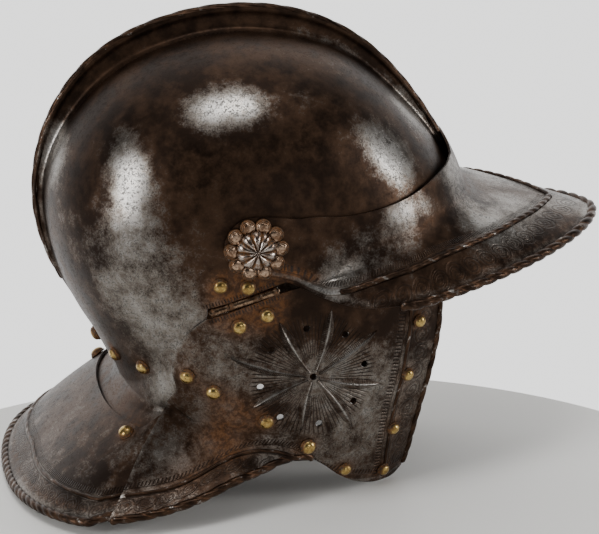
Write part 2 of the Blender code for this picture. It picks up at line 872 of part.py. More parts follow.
def build_cheekpieces(hinges):
    grid = [[cheek_point(u, v) for v in CHEEK_ROWS] for u in CHEEK_COLUMNS]
    skin_right = skin("cheekpiece_right", [grid], (0, 0, -0.08))
    flange = [cheek_point(u, 2.0) for u in np.linspace(*FLANGE_ROPE_SPAN, 14)]
    front = [cheek_point(1.0, v) for v in FRONT_ROPE_ROWS]
    flange_rope = solid("flange_rope", [cord(flange, ROPE_RADIUS)])
    front_rope = solid("front_rope", [cord(front, FRONT_ROPE_RADIUS)])
    star = solid("star_holes", star_holes())
    for side, hinge in hinges.items():
        right = side == "right"
        pieces = [m if right else other_side(m) for m in (skin_right, flange_rope, front_rope, star)]
        made = place(f"cheekpiece_{side}", pieces[0], WORN_STEEL, hinge)
        thicken(made, WALL)
        for mesh, operation in zip(pieces[1:], ("UNION", "UNION", "DIFFERENCE")):
            combine(made, place(f"{mesh.name}_{side}", mesh, None, hinge, guide=True), operation)


# Hinge of each cheekpiece: two leaves behind the plates, three knuckles and a pin
HINGE_REAR, HINGE_FRONT = laid_out([HINGE_REAR_PLACE, HINGE_FRONT_PLACE])
KNUCKLES = [("skull", 0.0, 0.27), ("cheek", 0.27, 0.73), ("skull", 0.73, 1.0)]
LEAF_DEPTH = {"skull": 0.0165, "cheek": 0.0155}
LEAF_SPAN = {"skull": (0.03, 0.5, 0.97), "cheek": (0.26, 0.6, 0.97)}
LEAF_START = 0.0010
PIN_HEAD = [(1.0, 0.7), (4 / 9, 1.4), (1 / 3, 1.0)]
HINGE_SIDE = {"skull": 1, "cheek": -1}


def hinge_frame():
    rear = on_bowl(*HINGE_REAR, HINGE_LIFT)
    front = on_bowl(*HINGE_FRONT, HINGE_LIFT)
    run = (front - rear).normalized()
    middle = (Vector(HINGE_REAR) + Vector(HINGE_FRONT)) / 2
    out = on_bowl(*middle, 0.01) - on_bowl(*middle)
    out = (out - run * out.dot(run)).normalized()
    up = out.cross(run)
    return rear, front, run, out, up if up.z > 0 else -up


def leaf_place(kind, share, depth):
    """A point of a leaf's outer face, depth away from the hinge line behind its plate."""
    rear, front = Vector(HINGE_REAR), Vector(HINGE_FRONT)
    run = (front - rear).normalized()
    p = rear.lerp(front, share) + Vector((-run.y, run.x)) * HINGE_SIDE[kind] * depth
    lift = cheek_lift(p.x) if kind == "cheek" else 0.0
    return on_bowl(p.x, p.y, lift - WALL - LEAF_GAP)


def knuckle_shape(kind, centre, share, out, up):
    """Section of a knuckle with a web that runs back behind the plate's edge to the leaf."""
    side = HINGE_SIDE[kind]
    behind = (leaf_place(kind, share, HINGE_SLOT + LEAF_START) - centre).dot(out)
    foot = 0.0002
    points = []
    for k in range(7):
        turn = math.radians(-90 + 270 * k / 6)
        points.append((-side * KNUCKLE_RADIUS * math.sin(turn), KNUCKLE_RADIUS * math.cos(turn)))
    points.append((side * 0.3 * KNUCKLE_RADIUS, behind - LEAF_THICKNESS + foot))
    points.append((side * (HINGE_SLOT + LEAF_START), behind - LEAF_THICKNESS + foot))
    points.append((side * (HINGE_SLOT + LEAF_START), behind - foot))
    points.append((side * KNUCKLE_RADIUS, behind - foot))
    return [up * a + out * b for a, b in points]


def build_hinges(hinges):
    rear, front, run, out, up = hinge_frame()
    past = run * 4 * PIN_RADIUS
    bore = [ring(c, run, up, PIN_RADIUS + PIN_CLEARANCE, 8) for c in (rear - past, front + past)]
    pin = []
    for end, way in ((rear, -1), (front, 1)):
        for reach, radius in PIN_HEAD if way < 0 else reversed(PIN_HEAD):
            pin.append(ring(end + run * way * reach * PIN_RADIUS, run, up, PIN_RADIUS * radius, 8))
    pin_mesh = solid("hinge_pin", [pin])
    for kind in ("skull", "cheek"):
        grid = []
        for share in LEAF_SPAN[kind]:
            depths = (HINGE_SLOT, 0.5 * (HINGE_SLOT + LEAF_DEPTH[kind]), LEAF_DEPTH[kind])
            grid.append([leaf_place(kind, share, depth) for depth in depths])
        leaf = skin(f"leaf_{kind}", [grid], (0, 0, -0.03))
        knuckles = []
        for owner, start, end in KNUCKLES:
            if owner != kind:
                continue
            low = start + (KNUCKLE_GAP / 2 / (front - rear).length if start > 0 else 0)
            high = end - (KNUCKLE_GAP / 2 / (front - rear).length if end < 1 else 0)
            middle = (low + high) / 2
            shape = knuckle_shape(kind, rear.lerp(front, middle), middle, out, up)
            knuckles.append([[rear.lerp(front, share) + p for p in shape] for share in (low, high)])
        meshes = [leaf, solid(f"knuckles_{kind}", knuckles), solid(f"pin_bore_{kind}", [bore])]
        for side, hinge in hinges.items():
            shown = meshes if side == "right" else [other_side(m) for m in meshes]
            parent = stance if kind == "skull" else hinge
            made = place(f"hinge_leaf_{kind}_{side}", shown[0], STEEL, parent)
            thicken(made, LEAF_THICKNESS)
            combine(made, place(f"knuckles_{kind}_{side}", shown[1], None, parent, guide=True), "UNION")
            combine(made, place(f"pin_bore_{kind}_{side}", shown[2], None, parent, guide=True), "DIFFERENCE")
    both_sides("hinge_pin", pin_mesh, WORN_STEEL, {"right": stance, "left": stance})


# Rivets: places in the side view; the last of the cheekpiece's, along its front, are the small ones
NAPE_RIVETS = laid_out([(-0.7770, -0.7864), (-0.7225, -0.7958), (-0.5864, -0.8063)])
NAPE_RIVET_NAMES = ("nape_middle", "nape_inner", "nape_outer")
HINGE_RIVETS = laid_out([(-0.1937, -0.2209), (-0.0419, -0.2325)])
CHEEK_RIVETS = laid_out([
    (-0.0911, -0.4618),
    (0.0660, -0.4021),
    (-0.3717, -0.7801),
    (-0.2272, -0.8723),
    (0.0743, -1.0702),
    (0.3183, -1.2513),
    (0.5476, -1.4356),
    (0.7895, -1.4995),
    (0.8346, -1.2230),
    (0.9058, -0.8775),
    (0.9675, -0.5508),
])
SMALL_CHEEK_RIVETS = 5
NECK_RIVET = (0.80, 0.10)
RIVET_SEAT = 0.0006
INNER_RIVET_SEAT = 0.0001


def rivet_mesh(name, seat, normal, radius, stand=RIVET_SEAT):
    start = Vector((0, 0, 1))
    profile = [(0.0, 1.0), (0.6, 0.82), (1.0, 0.35)]
    rings = [
        ring(seat + normal * (stand + RIVET_HEIGHT * up), normal, start, radius * share, 7)
        for up, share in profile
    ]
    return solid(name, [rings])


def both_sides(name, mesh, finish, parents):
    place(f"{name}_right", mesh, finish, parents["right"])
    place(f"{name}_left", other_side(mesh), finish, parents["left"])


def seat_of(face, x, z):
    seat = face(x, z)
    return seat, (face(x, z, 0.01) - seat).normalized()


def build_rivets(hinges):
    fixed = {"right": stance, "left": stance}
    for (x, z), name in zip(NAPE_RIVETS, NAPE_RIVET_NAMES):
        seat, normal = seat_of(on_bowl, x, z)
        if name == "nape_middle":
            reach = outline_radius(math.degrees(math.atan2(z, x))) - 1e-6
            flat = Vector((x, 0, z)).normalized() * reach
            seat, normal = seat_of(on_bowl, flat.x, flat.z)
            seat.y = 0.0
            normal.y = 0.0
            place(f"rivet_{name}", rivet_mesh(name, seat, normal.normalized(), RIVET_RADIUS), BRASS, stance)
        else:
            stand = INNER_RIVET_SEAT if name == "nape_inner" else RIVET_SEAT
            both_sides(f"rivet_{name}", rivet_mesh(name, seat, normal, RIVET_RADIUS, stand), BRASS, fixed)
    for k, (x, z) in enumerate(HINGE_RIVETS):
        mesh = rivet_mesh("rivet", *seat_of(on_bowl, x, z), RIVET_RADIUS)
        both_sides(f"rivet_hinge_{k + 1}", mesh, BRASS, fixed)
    for k, (x, z) in enumerate(CHEEK_RIVETS):
        small = k >= len(CHEEK_RIVETS) - SMALL_CHEEK_RIVETS
        radius = SMALL_RIVET_RADIUS if small else RIVET_RADIUS
        both_sides(f"rivet_cheek_{k + 1}", rivet_mesh("rivet", *cheek_seat(x, z), radius), BRASS, hinges)
    seat = neck_point(*NECK_RIVET)
    normal = (neck_point(*NECK_RIVET, 0.01) - seat).normalized()
    both_sides("rivet_neck", rivet_mesh("rivet", seat, normal, RIVET_RADIUS), BRASS, fixed)


# Sections of the boss from the helmet's inside: shares of the head's height and of the shank's
# radius for the inner head, then of the dome's height and radius with the depth of its flutes
INNER_HEAD = [(1.0, 1.15), (0.4, 1.75), (0.0, 1.75)]
INNER_HEAD_HEIGHT = 0.0014
BOSS_DOME = [(0.0, 0.93, 0.0), (0.12, 1.0, 0.10), (0.55, 0.80, 0.12), (0.86, 0.46, 0.10), (1.0, 0.14, 0.0)]


def petal_edge():
    """The washer's outline: petals as arcs round a circle."""
    half = math.sin(math.pi / WASHER_PETALS)
    petal = WASHER_RADIUS * half / (1 + half)
    centre = WASHER_RADIUS - petal
    edge = []
    for k in range(WASHER_PETALS):
        turn = 2 * math.pi * k / WASHER_PETALS
        for swing in (-80, -30, 30, 80):
            lobe = turn + math.radians(swing)
            across = centre * math.cos(turn) + petal * math.cos(lobe)
            up = centre * math.sin(turn) + petal * math.sin(lobe)
            edge.append((across, up))
    return edge


def fluted(centre, out, radius, depth, sides):
    points = ring(centre, out, Vector((0, 0, 1)), radius, sides)
    return [centre + (p - centre) * (1 - depth * (k % 2)) for k, p in enumerate(points)]


def build_rosettes():
    """A petalled washer and a fluted boss whose shank is the peak's pivot."""
    out = Vector((0, -1, 0))
    seat = HALF_WIDTH + stand_off(0.0) + SEAT_GAP
    edge = petal_edge()
    slab = [[Vector((a, -(seat + up), b)) for a, b in edge] for up in (0.0, WASHER_THICKNESS)]
    washer = solid("rosette_washer", [slab])
    ends = (seat - WASHER_THICKNESS, seat + 2 * WASHER_THICKNESS)
    bore = solid("washer_bore", [[ring(out * d, out, Vector((0, 0, 1)), HOLE_RADIUS, 12) for d in ends]])
    sides = 2 * BOSS_FLUTES
    inner = HALF_WIDTH - WALL - SEAT_GAP
    base = seat + WASHER_THICKNESS + SEAT_GAP
    rings = [
        fluted(out * (inner - INNER_HEAD_HEIGHT * up), out, SHANK_RADIUS * share, 0.0, sides)
        for up, share in INNER_HEAD
    ]
    rings += [fluted(out * d, out, SHANK_RADIUS, 0.0, sides) for d in (inner, base)]
    rings += [
        fluted(out * (base + BOSS_HEIGHT * up), out, BOSS_RADIUS * share, flute, sides)
        for up, share, flute in BOSS_DOME
    ]
    fixed = {"right": stance, "left": stance}
    both_sides("rosette_boss", solid("rosette_boss", [rings]), BRONZE, fixed)
    for side in fixed:
        meshes = [washer, bore] if side == "right" else [other_side(washer), other_side(bore)]
        made = place(f"rosette_washer_{side}", meshes[0], BRONZE, stance)
        drill = place(f"washer_bore_{side}", meshes[1], None, stance, guide=True)
        combine(made, drill, "DIFFERENCE")


def hinge_empties():
    rear, front, run, out, up = hinge_frame()
    middle = (rear + front) / 2
    return {
        "right": empty("cheek_hinge_right", middle, stance),
        "left": empty("cheek_hinge_left", (middle.x, -middle.y, middle.z), stance),
    }


def lowest(names, start, end, pitch):
    """The lowest height of some solids between two places along X, at a pitch of the helmet."""
    graph = bpy.context.evaluated_depsgraph_get()
    low = math.inf
    for name in names:
        mesh = bpy.data.objects[name].evaluated_get(graph).to_mesh()
        points = np.empty(3 * len(mesh.vertices))
        mesh.vertices.foreach_get("co", points)
        points = points.reshape(-1, 3)
        points = points[(points[:, 0] > start) & (points[:, 0] < end)]
        turned = points[:, 0] * -math.sin(pitch) + points[:, 2] * math.cos(pitch)
        low = min(low, float(turned.min()))
    return low


def stand():
    """Pitch the helmet until neck flange and cheekpieces both touch the ground, and centre it."""
    pitch = 0.0
    base = -NECK_EDGE_CENTRE + NECK_EDGE_REACH + 0.07
    for _ in range(6):
        rear = lowest(["neck_plate"], -1, 0, pitch)
        fore = lowest(["cheekpiece_right"], 0.03, 1, pitch)
        pitch += (fore - rear) / base
    stance.rotation_euler = (0, pitch, 0)
    bpy.context.view_layer.update()
    graph = bpy.context.evaluated_depsgraph_get()
    low, high = np.full(3, np.inf), np.full(3, -np.inf)
    for shown in bpy.data.objects:
        if shown.type != "MESH" or shown.hide_render:
            continue
        mesh = shown.evaluated_get(graph).to_mesh()
        for vertex in mesh.vertices:
            spot = np.array(shown.matrix_world @ vertex.co)
            low, high = np.minimum(low, spot), np.maximum(high, spot)
    stance.location = (-(low[0] + high[0]) / 2, 0, -low[2])
    bpy.context.view_layer.update()


hinges = hinge_empties()
build_skull()
build_neck_plate()
build_peak()
build_cheekpieces(hinges)
build_hinges(hinges)
build_rivets(hinges)
build_rosettes()
stand()
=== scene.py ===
import json
import math

import bpy
import numpy as np
from mathutils import Matrix, Vector

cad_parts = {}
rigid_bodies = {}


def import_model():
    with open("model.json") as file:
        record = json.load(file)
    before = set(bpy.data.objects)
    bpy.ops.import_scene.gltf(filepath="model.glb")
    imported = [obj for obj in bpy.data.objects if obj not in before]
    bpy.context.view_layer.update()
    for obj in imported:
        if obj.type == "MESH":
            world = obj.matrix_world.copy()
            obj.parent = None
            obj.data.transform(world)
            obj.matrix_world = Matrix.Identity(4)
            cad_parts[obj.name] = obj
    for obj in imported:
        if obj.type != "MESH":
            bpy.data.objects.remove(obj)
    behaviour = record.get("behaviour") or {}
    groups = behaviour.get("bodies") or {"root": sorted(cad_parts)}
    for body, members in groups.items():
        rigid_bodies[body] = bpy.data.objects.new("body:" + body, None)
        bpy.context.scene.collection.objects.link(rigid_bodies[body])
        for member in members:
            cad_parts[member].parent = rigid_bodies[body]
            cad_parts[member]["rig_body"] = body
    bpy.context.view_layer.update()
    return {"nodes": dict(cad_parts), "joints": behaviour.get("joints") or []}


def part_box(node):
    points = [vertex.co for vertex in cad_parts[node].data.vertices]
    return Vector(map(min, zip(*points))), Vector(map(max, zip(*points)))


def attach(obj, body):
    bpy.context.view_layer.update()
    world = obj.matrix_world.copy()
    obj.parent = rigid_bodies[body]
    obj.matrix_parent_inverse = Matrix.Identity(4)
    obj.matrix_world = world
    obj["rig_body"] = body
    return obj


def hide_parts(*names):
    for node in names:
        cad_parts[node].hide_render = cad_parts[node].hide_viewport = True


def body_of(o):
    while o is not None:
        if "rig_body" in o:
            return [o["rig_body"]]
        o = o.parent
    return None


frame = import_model()

# The skull is the bowl of the helmet: one steel plate about 1.3 mm thick, raised with the hammer
# into a dome with a low hollow comb along the middle. It is browned all over, and worn and
# cleaned bright in patches that are finely pitted. Some bright patches about the comb, and a line
# along its foot, are painted highlights.
WALL = 0.0013
PLATE_GAP = 0.0008
HALF_WIDTH = 0.093
CROWN_RADIUS = 0.0955
FULLNESS = 2.3
COMB_HEIGHT = 0.0135
COMB_FOOT = 0.006
HOLE_RADIUS = 0.0033
BROW_ANGLE = 4.0
SPLIT_ANGLE = 233.5
NAPE_ANGLE = 236.5
SPLIT_RADIUS = 0.0430
HINGE_SLOT = 0.0025
TURN_STEP = 0.25
PITCH = math.radians(1.5308)
pivot = next(joint["pos_m"] for joint in frame["joints"] if joint["name"] == "peak_pivot")

# Degrees about the peak's axis, radius of the bowl's outline as a share of the crown radius
OUTLINE = [
    (4, 1.290), (12, 1.240), (20, 1.183), (31, 1.120), (45, 1.087), (60, 1.052), (72, 1.018),
    (84, 1.003), (97, 1.000), (110, 1.004), (127, 1.036), (145, 1.062), (160, 1.083), (172, 1.095),
    (182, 1.083), (192, 1.072), (205, 1.068), (213, 1.076), (221, 1.090), (229, 1.140),
    (236.5, 1.212), (244, 1.440), (252, 1.610), (262, 1.880), (276, 2.120), (290, 2.140),
    (305, 1.900), (318, 1.740), (333, 1.590), (348, 1.410), (364, 1.290),
]
# Degrees, height of the comb as a share of COMB_HEIGHT
COMB = [
    (4, 0.20), (12, 0.30), (20, 0.42), (32, 0.62), (45, 0.74), (60, 0.88), (70, 0.98), (95, 1.00),
    (120, 0.99), (140, 0.88), (155, 0.68), (170, 0.44), (185, 0.34), (198, 0.20), (210, 0.02),
    (236.5, 0.0),
]
# From the comb's foot to its top: half thickness as a share of the foot's, rise as a share of
# the height there
COMB_SECTION = [(1.0, 0.0), (0.55, 0.14), (0.36, 0.55), (0.46, 0.80), (0.36, 0.96), (0.0, 1.0)]


def stood(points):
    """From the helmet's own frame, about the peak's axis, to the frame that it stands in."""
    p = np.asarray(points, float)
    x = p[..., 0] * math.cos(PITCH) + p[..., 2] * math.sin(PITCH) + pivot[0]
    z = p[..., 2] * math.cos(PITCH) - p[..., 0] * math.sin(PITCH) + pivot[2]
    return np.stack([x, p[..., 1], z], axis=-1)


def through(knots, values, at):
    """A smooth curve through values at rising knots, read at many places."""
    x, y = np.asarray(knots, float), np.asarray(values, float)
    rows = y if y.ndim > 1 else y[:, None]
    step = np.diff(x)[:, None]
    slope = np.diff(rows, axis=0) / step
    inner = (slope[:-1] * step[1:] + slope[1:] * step[:-1]) / (step[:-1] + step[1:])
    tangent = np.concatenate([slope[:1], inner, slope[-1:]])
    place = np.clip(np.asarray(at, float), x[0], x[-1])
    i = np.clip(np.searchsorted(x, place, side="right") - 1, 0, len(x) - 2)
    h = step[i]
    s = (place - x[i])[..., None] / h
    made = (2 * s**3 - 3 * s**2 + 1) * rows[i] + (s**3 - 2 * s**2 + s) * h * tangent[i]
    made = made + (3 * s**2 - 2 * s**3) * rows[i + 1] + (s**3 - s**2) * h * tangent[i + 1]
    return made if y.ndim > 1 else made[..., 0]


def along(points, share):
    """Points at shares of the length of a smooth line."""
    line = np.asarray(points, float)
    length = np.concatenate([[0], np.cumsum(np.linalg.norm(np.diff(line, axis=0), axis=1))])
    return through(length / length[-1], line, share)


def evened(values, spread):
    """A ring of values with its small waves taken out, so that highlights run evenly over it."""
    reach = int(4 * spread / TURN_STEP)
    weight = np.exp(-0.5 * (np.arange(-reach, reach + 1) * TURN_STEP / spread) ** 2)
    ring = np.concatenate([values[-reach:], values, values[:reach]])
    return np.convolve(ring, weight / weight.sum(), "valid")


outline_turns = np.arange(0, 360, TURN_STEP)
raw = through(*zip(*OUTLINE), (outline_turns - BROW_ANGLE) % 360 + BROW_ANGLE)
closeness = np.clip((outline_turns - 205) / 18, 0, 1) * np.clip((356 - outline_turns) / 8, 0, 1)
outline_shares = evened(raw, 5.0) * (1 - closeness) + evened(raw, 1.2) * closeness
comb_shares = evened(through(*zip(*COMB), outline_turns), 2.0)


def outline_radius(degrees):
    return CROWN_RADIUS * np.interp(degrees, outline_turns, outline_shares, period=360)


def bowl_depth(share):
    return HALF_WIDTH * (1 - np.minimum(share, 1.0) ** FULLNESS) ** (1 / FULLNESS)


def share_at(depth):
    return (1 - (depth / HALF_WIDTH) ** FULLNESS) ** (1 / FULLNESS)


def on_bowl(x, z, lift=0.0):
    """Points of the right side at places in the side view, lifted off the bowl's face."""
    x, z = np.broadcast_arrays(np.asarray(x, float), np.asarray(z, float))
    degrees = np.degrees(np.arctan2(z, x))
    radius = np.maximum(np.hypot(x, z), 1e-6)
    outline = outline_radius(degrees)
    share = np.minimum(radius / outline, 1.0)
    depth = bowl_depth(share)
    bend = (outline_radius(degrees + 1) - outline_radius(degrees - 1)) / math.radians(2)
    slope = share ** (FULLNESS - 1) / outline
    normal = np.stack(
        [
            x / radius * slope + z / radius * slope * share * bend / radius,
            -((depth / HALF_WIDTH) ** (FULLNESS - 1)) / HALF_WIDTH,
            z / radius * slope - x / radius * slope * share * bend / radius,
        ],
        axis=-1,
    )
    normal /= np.linalg.norm(normal, axis=-1, keepdims=True)
    return np.stack([x, -depth, z], axis=-1) + normal * np.asarray(lift)[..., None]


def at_turn(degrees, share, lift=0.0):
    radius = share * outline_radius(degrees)
    return on_bowl(radius * np.cos(np.radians(degrees)), radius * np.sin(np.radians(degrees)), lift)


def lines_to(ends, count):
    """Lines down the bowl from the pivot hole to places in the side view."""
    degrees = np.degrees(np.arctan2(ends[:, 1], ends[:, 0]))[:, None]
    outline = outline_radius(degrees)
    low = np.arcsin((HOLE_RADIUS / outline) ** (FULLNESS / 2))
    high = np.arcsin((np.hypot(*ends.T)[:, None] / outline) ** (FULLNESS / 2))
    return at_turn(degrees, np.sin(low + (high - low) * np.linspace(0, 1, count)) ** (2 / FULLNESS))


def laid_out(shares):
    """Places in the side view from shares of the crown radius."""
    return np.asarray(shares, float) * CROWN_RADIUS


HINGE_REAR, HINGE_FRONT = laid_out([(-0.245, -0.3864), (0.1288, -0.2576)])
hinge_run = (HINGE_FRONT - HINGE_REAR) / np.linalg.norm(HINGE_FRONT - HINGE_REAR)
hinge_away = np.array([-hinge_run[1], hinge_run[0]])


def slot_line(share, side):
    """Places beside the hinge in the side view, above it for side 1 and below for -1."""
    share = np.asarray(share, float)[..., None]
    return HINGE_REAR * (1 - share) + HINGE_FRONT * share + hinge_away * side * HINGE_SLOT


# Free edges of the skull: the nape's waist, the tongue under the cheekpiece, and the brow
WAIST_EDGE = laid_out([
    (-0.6335, -1.0262), (-0.5812, -1.0314), (-0.5079, -1.0366), (-0.4293, -1.0366), (-0.3560, -1.0209),
])
TONGUE_EDGE = laid_out([
    (-0.2806, -0.4503), (-0.3194, -0.5445), (-0.3455, -0.6702), (-0.3508, -0.7958), (-0.3455, -0.9215),
])
BROW_EDGE = laid_out([
    (0.2408, -0.1937), (0.3770, -0.1257), (0.5550, -0.0419), (0.7749, 0.0209), (0.9738, 0.0545),
    (1.1204, 0.0733), (1.2147, 0.0817),
])
# Neck plate, whose top edge the skull's lower edge goes down behind
NECK_TOP = {"centre": -0.314 * CROWN_RADIUS, "reach": 0.466 * CROWN_RADIUS, "half_width": 0.903 * HALF_WIDTH,
            "drop": 1.131 * CROWN_RADIUS, "turn": 56.0}
NECK_EDGE = {"centre": -0.628 * CROWN_RADIUS, "reach": 0.066, "half_width": 0.1075, "drop": 0.1545,
             "turn": 68.0}
NECK_EDGE_RISE = [(0.0, 0.0), (0.28, 0.0010), (0.57, 0.0030), (0.79, 0.0045), (0.91, 0.0055), (1.0, 0.0075)]


def neck_plan(side, edge):
    turn = np.radians(np.asarray(side, float) * edge["turn"])
    x = edge["centre"] - edge["reach"] * np.cos(turn) ** (2 / FULLNESS)
    return x, -edge["half_width"] * np.sin(turn) ** (2 / FULLNESS)


def neck_point(side, v, lift=0.0):
    """The neck plate's outer face: side from 0 at the back to 1, v from its top edge to its lower."""
    side, v = np.broadcast_arrays(np.asarray(side, float), np.asarray(v, float))
    x0, y0 = neck_plan(side, NECK_TOP)
    x1, y1 = neck_plan(side, NECK_EDGE)
    rise = through(*zip(*NECK_EDGE_RISE), -y1 / NECK_EDGE["half_width"])
    top = np.stack([x0, y0, np.full_like(x0, -NECK_TOP["drop"])], axis=-1)
    edge = np.stack([x1, y1, rise - NECK_EDGE["drop"]], axis=-1)
    slope = (edge - top) / np.linalg.norm(edge - top, axis=-1, keepdims=True)
    outward = np.stack([x1 - x0, y1 - y0, 0 * x0], axis=-1)
    outward /= np.linalg.norm(outward, axis=-1, keepdims=True)
    normal = outward - slope * (outward * slope).sum(axis=-1, keepdims=True)
    normal /= np.linalg.norm(normal, axis=-1, keepdims=True)
    bulge = 0.0016 * np.sin(math.pi * np.clip(v, 0, 1)) + lift
    return top + (edge - top) * v[..., None] + normal * bulge[..., None]


def pick(*pieces):
    """Selects the pieces and makes the first the active one."""
    bpy.ops.object.select_all(action="DESELECT")
    for piece in pieces:
        piece.select_set(True)
    bpy.context.view_layer.objects.active = pieces[0]


def lay_plate(name, points, maps=None, marks=None):
    """A grid whose points are moved to their places, with maps of distances and marks of worn places and
    painted light.
    """
    rows, columns = points.shape[:2]
    bpy.ops.mesh.primitive_grid_add(x_subdivisions=columns - 1, y_subdivisions=rows - 1, size=1)
    plate = bpy.context.active_object
    plate.name = name
    mesh = plate.data
    mesh.vertices.foreach_set("co", stood(points).reshape(-1))
    corner = np.empty(len(mesh.loops), dtype=np.int32)
    mesh.loops.foreach_get("vertex_index", corner)
    while mesh.uv_layers:
        mesh.uv_layers.remove(mesh.uv_layers[0])
    for key, values in (maps or {}).items():
        values = np.broadcast_to(values, (rows, columns, 2)).reshape(-1, 2)
        mesh.uv_layers.new(name=key).data.foreach_set("uv", values[corner].reshape(-1))
    for key, values in (marks or {}).items():
        values = np.broadcast_to(values, (rows, columns)).reshape(-1)
        mesh.attributes.new(key, "FLOAT", "POINT").data.foreach_set("value", values)
    return plate


def weld(name, plates, inside=None):
    """The plates joined where their edges meet, facing away from a point inside."""
    pick(*plates)
    if len(plates) > 1:
        bpy.ops.object.join()
    made = plates[0]
    made.name = made.data.name = name
    bpy.ops.object.mode_set(mode="EDIT")
    bpy.ops.mesh.select_all(action="SELECT")
    bpy.ops.mesh.remove_doubles(threshold=2e-5)
    bpy.ops.mesh.dissolve_degenerate(threshold=2e-6)
    bpy.ops.mesh.normals_make_consistent(inside=False)
    bpy.ops.object.mode_set(mode="OBJECT")
    if inside is not None:
        centre = Vector(stood(inside))
        if sum(face.normal.dot(face.center - centre) * face.area for face in made.data.polygons) < 0:
            made.data.flip_normals()
    return made


def finish_with(piece, kind, **settings):
    """A modifier added with its settings and applied."""
    pick(piece)
    modifier = piece.modifiers.new("work", kind)
    for key, value in settings.items():
        setattr(modifier, key, value)
    bpy.ops.object.modifier_apply(modifier=modifier.name)


def both_halves(piece):
    finish_with(piece, "MIRROR", use_axis=(False, True, False), merge_threshold=2e-5)


def smooth(piece, degrees=40):
    pick(piece)
    bpy.ops.object.shade_smooth_by_angle(angle=math.radians(degrees))


def give_wall(piece):
    """The plate's thickness inwards; its inner face takes the second material."""
    finish_with(
        piece, "SOLIDIFY", thickness=WALL, offset=-1, use_even_offset=True, use_quality_normals=True,
        material_offset=1, material_offset_rim=0,
    )
    smooth(piece)


def copied(piece, name):
    """A copy of a piece with its own mesh."""
    made = piece.copy()
    made.data = piece.data.copy()
    made.name = made.data.name = name
    bpy.context.collection.objects.link(made)
    return made


def other_side(piece, name):
    """The same piece for the wearer's left."""
    made = copied(piece, name)
    made.data.transform(Matrix.Diagonal((1, -1, 1, 1)))
    made.data.flip_normals()
    return made


class Flow:
    """A number on its way through a material, so that a finish can be written as plain sums."""

    def __init__(self, tree, socket):
        self.tree, self.socket = tree, socket

    def made(self, operation, *values):
        return fed(self.tree, "ShaderNodeMath", (self, *values), operation=operation)

    def __add__(self, other):
        return self.made("ADD", other)

    def __sub__(self, other):
        return self.made("SUBTRACT", other)

    def __mul__(self, other):
        return self.made("MULTIPLY", other)

    def __truediv__(self, other):
        return self.made("DIVIDE", other)

    def __rsub__(self, other):
        return self.made("MULTIPLY", -1.0).made("ADD", other)

    __radd__, __rmul__ = __add__, __mul__

    def between(self, low, high):
        """Rises smoothly from 0 at low to 1 at high; low may be the larger."""
        values = (self, low, high, 0.0, 1.0)
        return fed(self.tree, "ShaderNodeMapRange", values, interpolation_type="SMOOTHSTEP")

    def inside(self, low, high, soft=0.03):
        return self.between(low - soft, low + soft) * self.between(high + soft, high - soft)

    def lines(self, pitch, width, soft=0.12):
        """Thin lines a pitch apart, whose width is a share of the pitch."""
        off = ((self / pitch).made("FRACT") - 0.5).made("ABSOLUTE")
        return off.between(width / 2 + soft, max(width / 2 - soft, 0.0))


def fed(tree, kind, values=(), output=0, **settings):
    """A node with its settings, fed with values or with what runs through the material."""
    node = tree.nodes.new(kind)
    for key, value in settings.items():
        setattr(node, key, value)
    for socket, value in zip(node.inputs, values):
        if isinstance(value, Flow):
            tree.links.new(value.socket, socket)
        elif value is not None:
            socket.default_value = value
    return Flow(tree, node.outputs[output])


def cloud(place, size, detail=4.0, rough=0.6):
    """Noise with patches of about that size in metres, from 0 to 1."""
    return fed(place.tree, "ShaderNodeTexNoise", (place, None, 1 / size, detail, rough))


def mark(tree, name):
    return fed(tree, "ShaderNodeAttribute", output=2, attribute_name=name)


def map_of(tree, name):
    """The two distances of a map, in cm."""
    place = fed(tree, "ShaderNodeUVMap", uv_map=name)
    return [fed(tree, "ShaderNodeSeparateXYZ", (place,), output=k) for k in (0, 1)]


def mixed(share, first, second):
    values = (share, None, None, None, None, None, first, second)
    return fed(share.tree, "ShaderNodeMix", values, output=2, data_type="RGBA")


def curls(along_it, beside, size):
    """Etched curls that follow one another along a band and turn left and right by turns."""
    step = along_it / size
    way = (step.made("FLOOR") * 0.5).made("FRACT") * 4.0 - 1.0
    x = step.made("FRACT") - 0.5
    y = beside / size * way
    reach = (x * x + y * y).made("SQRT")
    curl = (reach * 4.5 - y.made("ARCTAN2", x) / (2 * math.pi)).made("FRACT") - 0.5
    return curl.made("ABSOLUTE").between(0.30, 0.16) * reach.between(0.60, 0.48)


def open_finish(name):
    """A new material with its place on the piece in metres."""
    material = bpy.data.materials.new(name)
    material.use_nodes = True
    tree = material.node_tree
    tree.nodes.clear()
    shader = tree.nodes.new("ShaderNodeBsdfPrincipled")
    tree.links.new(shader.outputs["BSDF"], tree.nodes.new("ShaderNodeOutputMaterial").inputs["Surface"])
    return material, tree, shader, fed(tree, "ShaderNodeTexCoord", output=3)


def close_finish(shader, colour, metal, rough, height):
    """Colour, metal and roughness go to the shader, and height in metres becomes relief."""
    tree = colour.tree
    for name, value in {"Base Color": colour, "Metallic": metal, "Roughness": rough}.items():
        if isinstance(value, Flow):
            tree.links.new(value.socket, shader.inputs[name])
        else:
            shader.inputs[name].default_value = value
    relief = tree.nodes.new("ShaderNodeBump")
    relief.inputs["Distance"].default_value = 1.0
    tree.links.new(height.socket, relief.inputs["Height"])
    tree.links.new(relief.outputs["Normal"], shader.inputs["Normal"])


BROWNED, BROWNED_DEEP = (0.062, 0.034, 0.020, 1), (0.020, 0.0115, 0.0075, 1)
BRIGHT, BRIGHT_GREY = (0.34, 0.325, 0.305, 1), (0.175, 0.155, 0.135, 1)
PIT, RUST, RUST_DEEP = (0.018, 0.012, 0.009, 1), (0.160, 0.060, 0.013, 1), (0.055, 0.021, 0.006, 1)


